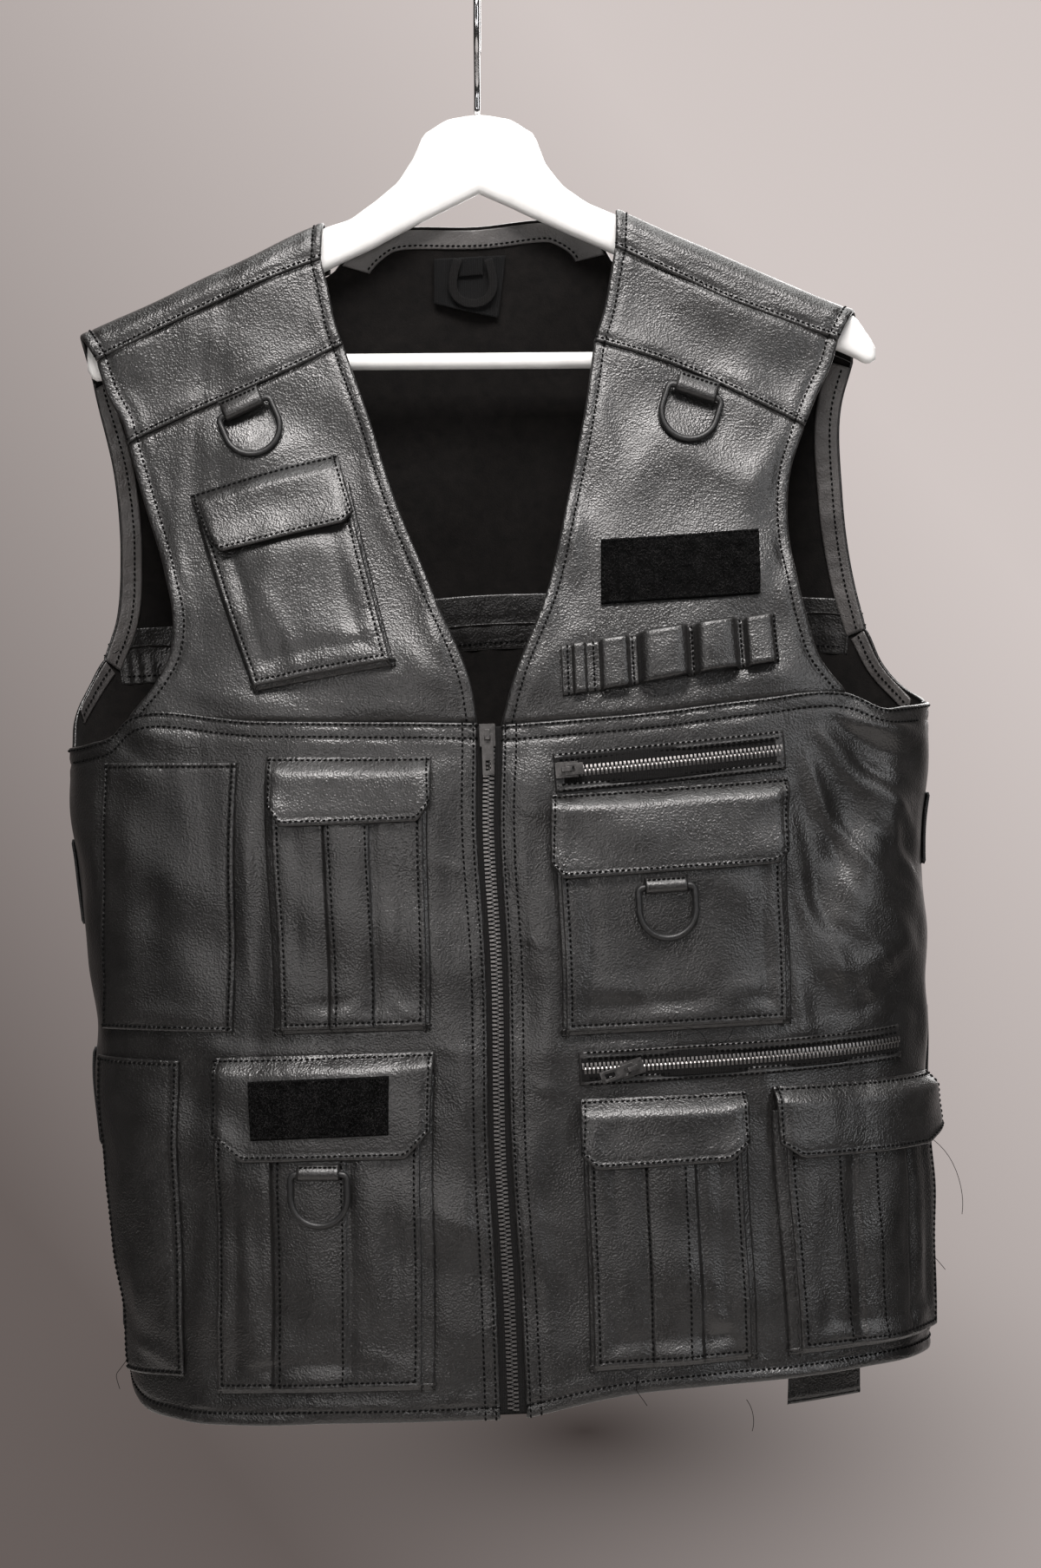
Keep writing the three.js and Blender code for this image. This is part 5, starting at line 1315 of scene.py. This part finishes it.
def edge_band(points, start, deep, out, low, high, count, bumps):
    """A band inside the back that follows a border line at a distance and is that deep."""
    line = smooth_line(charted("back", points), METRIC_U)
    scale = np.array([METRIC_U, 1.0])
    shares = np.linspace(low, high, count)
    run = shares * line_size(line)
    spots = sample(line, shares) * scale
    along = unit(np.gradient(spots, axis=0))
    inward = np.stack([along[:, 1], -along[:, 0]], axis=1)
    grid = []
    inside = np.linspace(1.4, deep - 1.4, 9)
    for far in np.concatenate([[0, 0.3, 0.8], inside, [deep - 0.8, deep - 0.3, deep]]):
        moved = (spots + inward * (start + far)) / scale
        edge = min(far, deep - far)
        high_at = out + 1.2 - float(rounded(np.array(edge), 0.9)) + bumps(run, far)
        grid.append(skin(moved[:, 0], moved[:, 1], -high_at))
    return np.array(grid)


def crinkled(run, far):
    """The relief of a facing: fine wrinkles along its sewn edge."""
    return 0.22 * np.sin(run / 1.9 + 1.5 * np.sin(run / 9.0)) * math.sin(min(far, 9.0) / 3.0)


def lapped(run, far):
    """The relief of the yoke's seam inside: a groove, a ridge and the gathered edge."""
    groove = -1.0 * math.exp(-((far - 15.0) / 1.6) ** 2) + 0.7 * math.exp(-((far - 18.0) / 1.6) ** 2)
    folds = 0.35 * np.sin(run / 1.5 + 2.0 * np.sin(run / 7.0)) * (1.0 if far > 16 else 0.25)
    return groove + folds


def build_facings():
    for name, node, points, start, deep, out, low, high, count, rests_on, row in FACINGS:
        seam = name == "yoke_seam"
        grid = edge_band(points, start, deep, out, low, high, count, lapped if seam else crinkled)
        if normals_of(grid)[2, 10][1] > 0:
            grid = grid[::-1]
        # The facings take the leather with painted light; the yoke's seam takes the plain leather.
        material = leather if seam else facing_leather_painted_light
        near = np.full(grid.shape[:2], 0.8)
        place_sheet(name + "_leather", node, grid, 1.0, material, "stretched", [rests_on], near=near)
        stitch_rows(name + "_leather_stitches_top", grid, [("top", row, 0.01, 0.99)])


def inside_grid(points, base, across_count, down_count, lift):
    """A grid on the inside of the back, with its good side towards the front."""
    s = np.linspace(0, 1, across_count)[None, :] + np.zeros((down_count, 1))
    t = np.linspace(0, 1, down_count)[:, None] + np.zeros((1, across_count))
    return patch_skin(charted("back", points), s, t, -(base + lift(s, t)))


def build_neck_pieces():
    """The bare label, the tab on it and the loop of tape."""
    def label_lift(s, t):
        return 3.5 * t ** 2 * np.sin(2.4 * s + 0.5) + 0.5 * np.sin(6 * s + 4 * t)

    def tab_lift(s, t):
        return 0.5 * t

    cloths = [
        ("neck_label", [(-25, -157), (16, -155), (12, -190), (-25, -182)], 3.4, 34, 30, label_lift),
        ("size_tab", [(-11, -156.5), (3, -155.5), (3, -166), (-11, -167)], 4.6, 16, 12, tab_lift)]
    rests_on = ["neck_facing_leather"]
    for name, *spec in cloths:
        grid = inside_grid(*spec)
        place_sheet(name + "_cloth", name, grid, 0.5, label_cloth, "hung", rests_on, slot="webbing")
    ends = charted("back", [(-11, -157), (6, -156)])
    turn = np.linspace(0, 1, 50)
    u = ends[0, 0] * (1 - turn) + ends[1, 0] * turn + 0.035 * np.sin(np.pi * turn) * np.cos(np.pi * turn)
    z = -157 - 25 * np.sin(np.pi * turn)
    path = skin(u, z, -(5.6 + 2.5 * np.sin(np.pi * turn)))
    ahead = np.gradient(path, axis=0)
    wide = unit(np.cross(ahead, np.broadcast_to(np.array([0, 1.0, 0]), ahead.shape)))
    band = np.stack([path + wide * w for w in np.linspace(-2.4, 2.4, 7)], axis=0)
    place_sheet("hang_loop_tape", "hang_loop", band, 0.6, tape_cloth, "hung", rests_on, slot="webbing")


def merged(name, parts, material):
    """One piece on the vest made of many parts."""
    points = []
    faces = []
    start = 0
    for part_points, part_faces in parts:
        points.append(part_points)
        faces.extend([tuple(i + start for i in face) for face in part_faces])
        start += len(part_points)
    piece = make_object(name, np.concatenate(points), faces, material, smooth=False)


def build_threads():
    """Ends of thread that hang loose at some pockets and at the right side."""
    parts = []
    for x, z, out, over, fall, bend in LOOSE_THREADS:
        t = np.linspace(0, 1, 14)
        start = skin(np.array([chart("front", x, z)]), np.array([z]), out)[0]
        path = np.stack([start[0] + over * t + bend * np.sin(np.pi * t),
                         start[1] - 2.0 * np.sin(np.pi * t * 0.8),
                         start[2] + fall * t + 0.3 * bend * np.sin(2 * np.pi * t)], axis=1)
        parts.append(tube(path, 0.17, 4))
    merged("loose_threads", parts, thread)


def build_cartridges():
    """The strip of leather that stands out in loops."""
    across = np.linspace(0, CARTRIDGE_ENDS, 150)
    rise = np.zeros(len(across))
    squeeze = np.zeros(len(across))
    for start, end, out in CARTRIDGE_LOOPS:
        t = np.clip((across - start) / (end - start), 0, 1)
        hump = np.clip(1 - np.abs(2 * t - 1) ** 2.8, 0, 1) ** (1 / 2.2)
        rise = np.maximum(rise, out * hump)
        squeeze = squeeze + (t > 0) * (t < 1) * np.sin(2 * np.pi * t) * (-1.5 if out > 5 else -0.6)
    s = ((across + squeeze) / CARTRIDGE_ENDS)[None, :]
    t = np.linspace(0, 1, 18)[:, None]
    top = np.array(CARTRIDGE_TOP, float)
    low = np.array(CARTRIDGE_BOTTOM, float)
    x = (1 - t) * ((1 - s) * top[0, 0] + s * top[1, 0]) + t * ((1 - s) * low[0, 0] + s * low[1, 0])
    z = (1 - t) * ((1 - s) * top[0, 1] + s * top[1, 1]) + t * ((1 - s) * low[0, 1] + s * low[1, 1])
    sag = rise[None, :] * (0.82 + 0.18 * np.sin(np.pi * (0.25 + 0.6 * t)))
    gap = np.minimum(t, 1 - t) * 27
    out = 1.9 + sag - rounded(gap, 0.9) + 0.3 * dip(gap - 2.0, 1.4)
    grid = skin(chart("front", x, z), z, out)
    place_sheet("cartridge_strip_leather", "cartridge_strip", grid, 1.3, leather, "stretched",
                ["front_upper_r_leather"])
    rows = []
    for at in CARTRIDGE_ROWS:
        k = int(round(at / CARTRIDGE_ENDS * (len(across) - 1)))
        rows.append((grid[:, k], normals_of(grid)[:, k]))
    stitches("cartridge_strip_stitches", rows, 2.8)


def frame_at(x, z, slope, base):
    """A local frame on the front: a is across, b is down along the leather, n is outwards."""
    u = chart("front", np.array(float(x)), np.array(float(z)))
    n = outwards(u, np.array(float(z)))
    body = on_body(u, np.array(float(z)))
    fold = crease_sum(FRONT_FOLDS, body[0], body[2])
    spot = body + n * (fold + base)
    turn = math.radians(slope)
    across = np.array([math.cos(turn), 0, math.sin(turn)])
    a = unit(across - n * (across @ n))
    b = unit(np.cross(a, n))
    if b @ np.array([math.sin(turn), 0, -math.cos(turn)]) < 0:
        b = -b
    return spot, a, b, n


def place_in(local, points):
    spot, a, b, n = local
    pts = np.asarray(points, float)
    return spot + pts[..., :1] * a + pts[..., 1:2] * b + pts[..., 2:] * n


def ring_path():
    """The middle line of a D-ring: across from the middle, and down from its straight bar."""
    corner = 3.0
    straight = RING_DROP - RING_HALF
    path = [(-RING_HALF + corner + (2 * RING_HALF - 2 * corner) * k / 13, 0) for k in range(14)]
    for k in range(1, 6):
        angle = math.pi / 2 * k / 6
        path.append((RING_HALF - corner + corner * math.sin(angle), corner - corner * math.cos(angle)))
    for k in range(4):
        path.append((RING_HALF, corner + (straight - corner) * k / 4))
    for k in range(33):
        angle = math.pi * k / 32
        path.append((RING_HALF * math.cos(angle), straight + RING_HALF * math.sin(angle)))
    for k in range(1, 5):
        path.append((-RING_HALF, straight - (straight - corner) * k / 4))
    for k in range(1, 6):
        angle = math.pi / 2 * k / 6
        path.append((-RING_HALF + corner - corner * math.cos(angle), corner - corner * math.sin(angle)))
    return path


def loop_profile(tail):
    """The outer side of a ring's leather loop, from its front tail round the bar to its back tail."""
    inner = RING_WIRE + 0.35
    outer = inner + LOOP_PLY
    top = RING_BAR_UP + inner + LOOP_PLY
    profile = []
    for k in range(9):
        profile.append((-tail + (tail - 0.6) * k / 8, top - (top - 2.6 - LOOP_PLY) * (1 - k / 8) ** 1.8))
    for k in range(1, 12):
        angle = math.pi / 2 - math.pi * k / 12
        profile.append((outer * math.cos(angle), RING_BAR_UP + outer * math.sin(angle)))
    profile.append((-1.0, RING_BAR_UP - inner - LOOP_PLY))
    profile.append((-tail, RING_BAR_UP - inner - LOOP_PLY))
    return profile


def build_rings():
    tilt = math.asin((RING_BAR_UP - RING_WIRE - 1.1) / RING_DROP)
    across = np.linspace(-LOOP_WIDTH / 2, LOOP_WIDTH / 2, 22)
    fall = rounded(np.minimum(across + LOOP_WIDTH / 2, LOOP_WIDTH / 2 - across), 0.8)
    for name, x, z, slope, base, tail in RINGS:
        local = frame_at(x, z, slope, base)
        path = np.array([(a, b * math.cos(tilt), RING_BAR_UP - b * math.sin(tilt)) for a, b in ring_path()])
        normal = place_in(local, [(0, math.sin(tilt), math.cos(tilt))])[0] - local[0]
        points, faces = tube(place_in(local, path), RING_WIRE, 14, True, normal)
        body = "ring_" + name
        piece = make_object(body + "_wire", points, faces, ring_paint, body)
        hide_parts(body)
        grid = np.array([[place_in(local, [(a, b, n - f * (1 if n > RING_BAR_UP else -1))])[0]
                          for a, f in zip(across, fall)] for b, n in loop_profile(tail)])
        loop = "ring_loop_" + name
        place_sheet(loop + "_leather", loop, grid, LOOP_PLY, leather_edge, "folded", [body + "_wire"])
        stitches(loop + "_stitches", [inset_line(grid, "top", 2.6, 0.04, 0.96)], 2.6)


def tooth(spot, along, side, normal, reach, size, tall):
    """One tooth: a small block with a narrower head that reaches over the middle line."""
    sections = [(-1.0, 0.62, 0.8), (-0.15, 0.62, 1.0), (0.45, 0.5, 1.0), (1.0, 0.32, 0.7)]
    points = []
    for at, wide, high in sections:
        for a, h in ((-wide, 0), (wide, 0), (wide, high), (-wide, high)):
            points.append(spot + side * at * reach + along * a * size + normal * h * tall)
    faces = [(0, 3, 2, 1)] + hoop_faces(4, 4, turned=True) + [(12, 13, 14, 15)]
    return np.array(points), faces


def zip_row(name, line, base, tape_half):
    """A zip: the tape on both sides and two rows of teeth that mesh in the middle."""
    dense = sample(line, np.linspace(0, 1, 160))
    u = dense[:, 0]
    z = dense[:, 1]
    body = on_body(u, z)
    normal = outwards(u, z)
    centre = body + normal * (crease_sum(FRONT_FOLDS, body[:, 0], z) + base)[:, None]
    along = unit(np.gradient(centre, axis=0))
    side = unit(np.cross(along, normal))
    edge = [tape_half - 0.6, tape_half]
    offsets = np.array([-edge[1], -edge[0], -4.2, -3.4, -2.6, 2.6, 3.4, 4.2] + edge)
    raise_at = np.array([0.0, 0.25, 0.3, 0.55, 0.3, 0.3, 0.55, 0.3, 0.25, 0.0])
    tape = centre[None] + side[None] * offsets[:, None, None] + normal[None] * raise_at[:, None, None]
    piece = shell(name + "_tape", tape[::-1], 0.7, tape_cloth, slot="webbing")
    run = run_along(centre)
    parts = []
    for k in range(int(run[-1] / TOOTH_PITCH) * 2 - 1):
        at = (k + 1) * TOOTH_PITCH / 2
        spot = at_length(at, run, centre)
        t = unit(at_length(at, run, along))
        n = unit(at_length(at, run, normal))
        s = unit(np.cross(t, n)) * (1 if k % 2 else -1)
        parts.append(tooth(spot + s * 1.25 + n * 0.25, t, -s, n, 1.75, TOOTH_PITCH * 0.42, 1.7))
    merged(name + "_teeth", parts, tooth_metal)
    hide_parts(name)
    declare(tape)


def facing_out(grid, row, column, way):
    """The grid, turned over where its skin would look inwards."""
    return grid[::-1] if normals_of(grid)[row, column] @ way < 0 else grid


def lips(name, line, inner, outer, base):
    """The turned leather edges on both sides of a sewn-in zip, and its ends."""
    rests_on = ["front_lower_r_leather"]
    dense = sample(line, np.linspace(0, 1, 70))
    u = dense[:, 0]
    z = dense[:, 1]
    start = on_body(u, z)
    normal = outwards(u, z)
    along = unit(np.gradient(start, axis=0))
    side = unit(np.cross(along, normal))
    span_u = np.linalg.norm(on_body(u + 0.01, z) - start, axis=1) / 0.01
    rows = []
    for sign, label in ((-1, "high"), (1, "low")):
        wide = np.linspace(outer, inner, 12)
        gap = np.minimum(wide - inner, outer - wide)
        high = base + 1.1 - rounded(gap, 1.0) + 0.25 * dip(gap - 1.4, 0.9)
        grid = []
        for w, h in zip(wide, high):
            down = (side * (sign * w))[:, 2]
            du = np.sign(side[:, 0]) * np.sqrt(np.maximum(w * w - down ** 2, 0)) * sign / span_u
            grid.append(skin(u + du, z + down, np.full(len(u), h)))
        grid = np.array(grid)
        grid = facing_out(grid if sign > 0 else grid[::-1], 5, 30, normal[30])
        place_sheet(f"{name}_lip_{label}", None, grid, 1.0, leather_edge, "stretched", rests_on)
        rows += [inset_line(grid, border, 1.6, 0.01, 0.99) for border in ("top", "bottom")]
    for index, inward, label in ((0, 1, "start"), (-1, -1, "end")):
        centre_u = np.array(u[index])
        centre_z = np.array(z[index])
        one_u = np.linalg.norm(on_body(centre_u + 0.01, centre_z) - on_body(centre_u, centre_z)) / 0.01
        grid = []
        for deep in np.linspace(0, 6.0, 7):
            row = []
            for w in np.linspace(-outer, outer, 16):
                edge = min(outer - abs(w), deep, 6.0 - deep)
                high = base + 1.3 - float(rounded(np.array(edge), 0.8))
                spot = along[index] * inward * (deep - 1.0) + side[index] * w
                row.append(skin(centre_u + spot[0] / one_u, centre_z + spot[2], np.array(high)))
            grid.append(row)
        grid = facing_out(np.array(grid), 3, 8, outwards(centre_u, centre_z))
        place_sheet(f"{name}_end_{label}", None, grid, 1.0, leather_edge, "stretched", rests_on)
    stitches(name + "_stitches", rows)


def build_zips():
    zip_row("front_zip", smooth_line(charted("front", FRONT_ZIP), METRIC_U), -2.2, 12.5)
    for name, ends, half in SEWN_ZIPS:
        line = smooth_line(charted("front", ends), METRIC_U)
        zip_row(name, line, 1.3, half - 1.2)
        lips(name, line, half - 3.6, half + 1.4, 0.9)


def softened(node, name, body, radius):
    """A copy of a hard solid of a zip with its edges rounded."""
    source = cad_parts[node]
    piece = bpy.data.objects.new(name, source.data.copy())
    bpy.context.scene.collection.objects.link(piece)
    piece.data.materials.clear()
    piece.data.materials.append(pull_metal)
    weld = piece.modifiers.new("weld", "WELD")
    weld.merge_threshold = 0.00001
    bevel = piece.modifiers.new("bevel", "BEVEL")
    bevel.width = radius * MM
    bevel.segments = 3
    bevel.limit_method = "ANGLE"
    bevel.angle_limit = math.radians(35)
    graph = bpy.context.evaluated_depsgraph_get()
    made = bpy.data.meshes.new_from_object(piece.evaluated_get(graph))
    piece.modifiers.clear()
    piece.data = made
    for polygon in made.polygons:
        polygon.use_smooth = True
    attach(piece, body)
    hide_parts(node)


def build_metal():
    for which in ("front", "upper", "lower"):
        softened(f"{which}_zip_slider", f"{which}_slider_metal", "vest", 0.5)
        softened(f"{which}_zip_pull", f"{which}_pull_metal", f"{which}_pull", 0.35)


def hanger_stations():
    """Sections of the hanger's arms from left to right: x, top, bottom and half its thickness."""
    top = HANGER["top"].copy()
    follows = top == 0
    top[follows] = shoulder_at(HANGER["x"][follows]) - HANGER_UNDER
    table = {"x": HANGER["x"], "top": top, "bottom": HANGER["bottom"], "half": HANGER["half"]}
    stations = []
    for part in (slice(0, HANGER_PEAK + 1), slice(HANGER_PEAK, len(top))):
        arm = {key: column[part] for key, column in table.items()}
        xs = np.linspace(arm["x"][0], arm["x"][-1], 90)
        for x in xs if part.start else xs[:-1]:
            high = float(curve(table, "x", "top", x, True))
            if x < -85 or x > 80:
                high = min(high, float(shoulder_at(x)) - HANGER_UNDER)
            low = float(curve(arm, "x", "bottom", x, True))
            stations.append((x, high, low, float(curve(table, "x", "half", x, True))))
    return stations


def build_hanger():
    stations = hanger_stations()
    sides = 28
    points = []
    for x, high, low, half in stations:
        for k in range(sides):
            angle = 2 * math.pi * (k + 0.5) / sides
            c = math.cos(angle)
            s = math.sin(angle)
            points.append((x, half * math.copysign(abs(c) ** 0.62, c),
                           (high + low) / 2 + (high - low) / 2 * math.copysign(abs(s) ** 0.62, s)))
    faces = hoop_faces(len(stations), sides) + end_caps(len(stations), sides)
    line = [(BAR_FROM[0] + (BAR_TO[0] - BAR_FROM[0]) * k / 20, 0,
             BAR_FROM[1] + (BAR_TO[1] - BAR_FROM[1]) * k / 20) for k in range(21)]
    bar, bar_faces = tube(line, BAR_RADIUS, 28)
    faces += [tuple(i + len(points) for i in face) for face in bar_faces]
    piece = make_object("hanger_wood", np.concatenate([np.array(points), bar]), faces, white_paint)
    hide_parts("hanger")
    radius = HOOK_INSIDE + HOOK_WIRE
    path = list(HOOK_STEM)
    for angle in np.linspace(-50, 205, 60):
        turn = math.radians(angle)
        path.append((0, -radius * math.cos(turn), -HOOK_INSIDE + radius * math.sin(turn)))
    points, faces = tube(path, HOOK_WIRE, 16, False, (1, 0, 0))
    piece = make_object("hook_wire", points, faces, chrome)
    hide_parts("hanger_hook")


def build_camera():
    camera = bpy.data.cameras.new("camera")
    camera.lens = 72.74
    camera.sensor_width = 36.0
    camera.sensor_fit = "AUTO"
    camera.clip_end = 50
    item = bpy.data.objects.new("camera", camera)
    item.location = (0.02465, -1.8, -0.45775)
    item.rotation_euler = (math.radians(90), 0, 0)
    bpy.context.scene.collection.objects.link(item)
    bpy.context.scene.camera = item


def build_lights():
    for name, place, target, size, power, color in LIGHTS:
        light = bpy.data.lights.new(name, "AREA")
        light.shape = "RECTANGLE"
        light.size = size[0]
        light.size_y = size[1]
        light.energy = power
        light.color = color
        item = bpy.data.objects.new(name, light)
        item.location = place
        way = np.array(place, float) - np.array(target, float)
        flat = math.hypot(way[0], way[1])
        item.rotation_euler = (math.atan2(flat, way[2]), 0, math.atan2(way[0], -way[1]))
        bpy.context.scene.collection.objects.link(item)


def build_world():
    """A pale wall behind the vest, darker to the lower left, with a painted shadow of the vest right below
    it, and a dark room in front.
    """
    world = bpy.data.worlds.new("studio")
    bpy.context.scene.world = world
    world.use_nodes = True
    tree = world.node_tree
    tree.nodes.clear()
    output = tree.nodes.new("ShaderNodeOutputWorld")
    shade = tree.nodes.new("ShaderNodeBackground")
    place = tree.nodes.new("ShaderNodeTexCoord").outputs["Generated"]
    parts = tree.nodes.new("ShaderNodeSeparateXYZ")
    tree.links.new(place, parts.inputs["Vector"])
    tilted = tree.nodes.new("ShaderNodeMath")
    tilted.operation = "MULTIPLY_ADD"
    tilted.inputs[1].default_value = 1.2
    tree.links.new(parts.outputs["X"], tilted.inputs[0])
    tree.links.new(parts.outputs["Z"], tilted.inputs[2])
    wall = ramp(tree, span(tree, tilted.outputs["Value"], -0.32, 0.25, 0, 1), 0.0, 1.0, WALL_DARK, WALL_LIGHT)
    room = tree.nodes.new("ShaderNodeMix")
    room.data_type = "RGBA"
    room.inputs["A"].default_value = (*ROOM, 1)
    tree.links.new(span(tree, parts.outputs["Y"], 0.3, 0.93, 0, 1), room.inputs["Factor"])
    # A painted shadow: a soft dark spot on the wall right below the vest.
    below = tree.nodes.new("ShaderNodeMapping")
    below.inputs["Location"].default_value = (-0.02 / 0.2, 0.0, 0.2 / 0.075)
    below.inputs["Scale"].default_value = (1 / 0.2, 0.0, 1 / 0.075)
    tree.links.new(place, below.inputs["Vector"])
    spot = tree.nodes.new("ShaderNodeTexGradient")
    spot.gradient_type = "QUADRATIC_SPHERE"
    tree.links.new(below.outputs["Vector"], spot.inputs["Vector"])
    shaded = tree.nodes.new("ShaderNodeMix")
    shaded.data_type = "RGBA"
    shaded.inputs["B"].default_value = (*WALL_SHADOW, 1)
    tree.links.new(spot.outputs["Fac"], shaded.inputs["Factor"])
    tree.links.new(wall, shaded.inputs["A"])
    tree.links.new(shaded.outputs["Result"], room.inputs["B"])
    tree.links.new(room.outputs["Result"], shade.inputs["Color"])
    shade.inputs["Strength"].default_value = 1.0
    tree.links.new(shade.outputs["Background"], output.inputs["Surface"])


def build_floor():
    material = solid_material("floor", (0.5, 0.48, 0.465), (0.54, 0.52, 0.505), 0.75, 0.85, 0.0, 0.0003, 30)
    sides = 64
    points = [(0, 0, FLOOR_AT)]
    for k in range(sides):
        angle = 2 * math.pi * k / sides
        points.append((FLOOR_RADIUS * math.cos(angle), FLOOR_RADIUS * math.sin(angle), FLOOR_AT))
    mesh = bpy.data.meshes.new("floor")
    faces = [(0, 1 + k, 1 + (k + 1) % sides) for k in range(sides)]
    mesh.from_pydata((np.array(points) * MM).tolist(), [], faces)
    mesh.materials.append(material)
    floor = bpy.data.objects.new("floor", mesh)
    bpy.context.scene.collection.objects.link(floor)


build_camera()
build_panels()
build_shoulders()
build_pockets()
build_flaps()
build_flat_pockets()
build_patches()
build_webbing()
build_strap()
build_facings()
build_neck_pieces()
build_cartridges()
build_threads()
build_rings()
build_zips()
build_metal()
build_hanger()
build_lights()
build_world()
build_floor()
bpy.context.scene.view_settings.view_transform = "Standard"
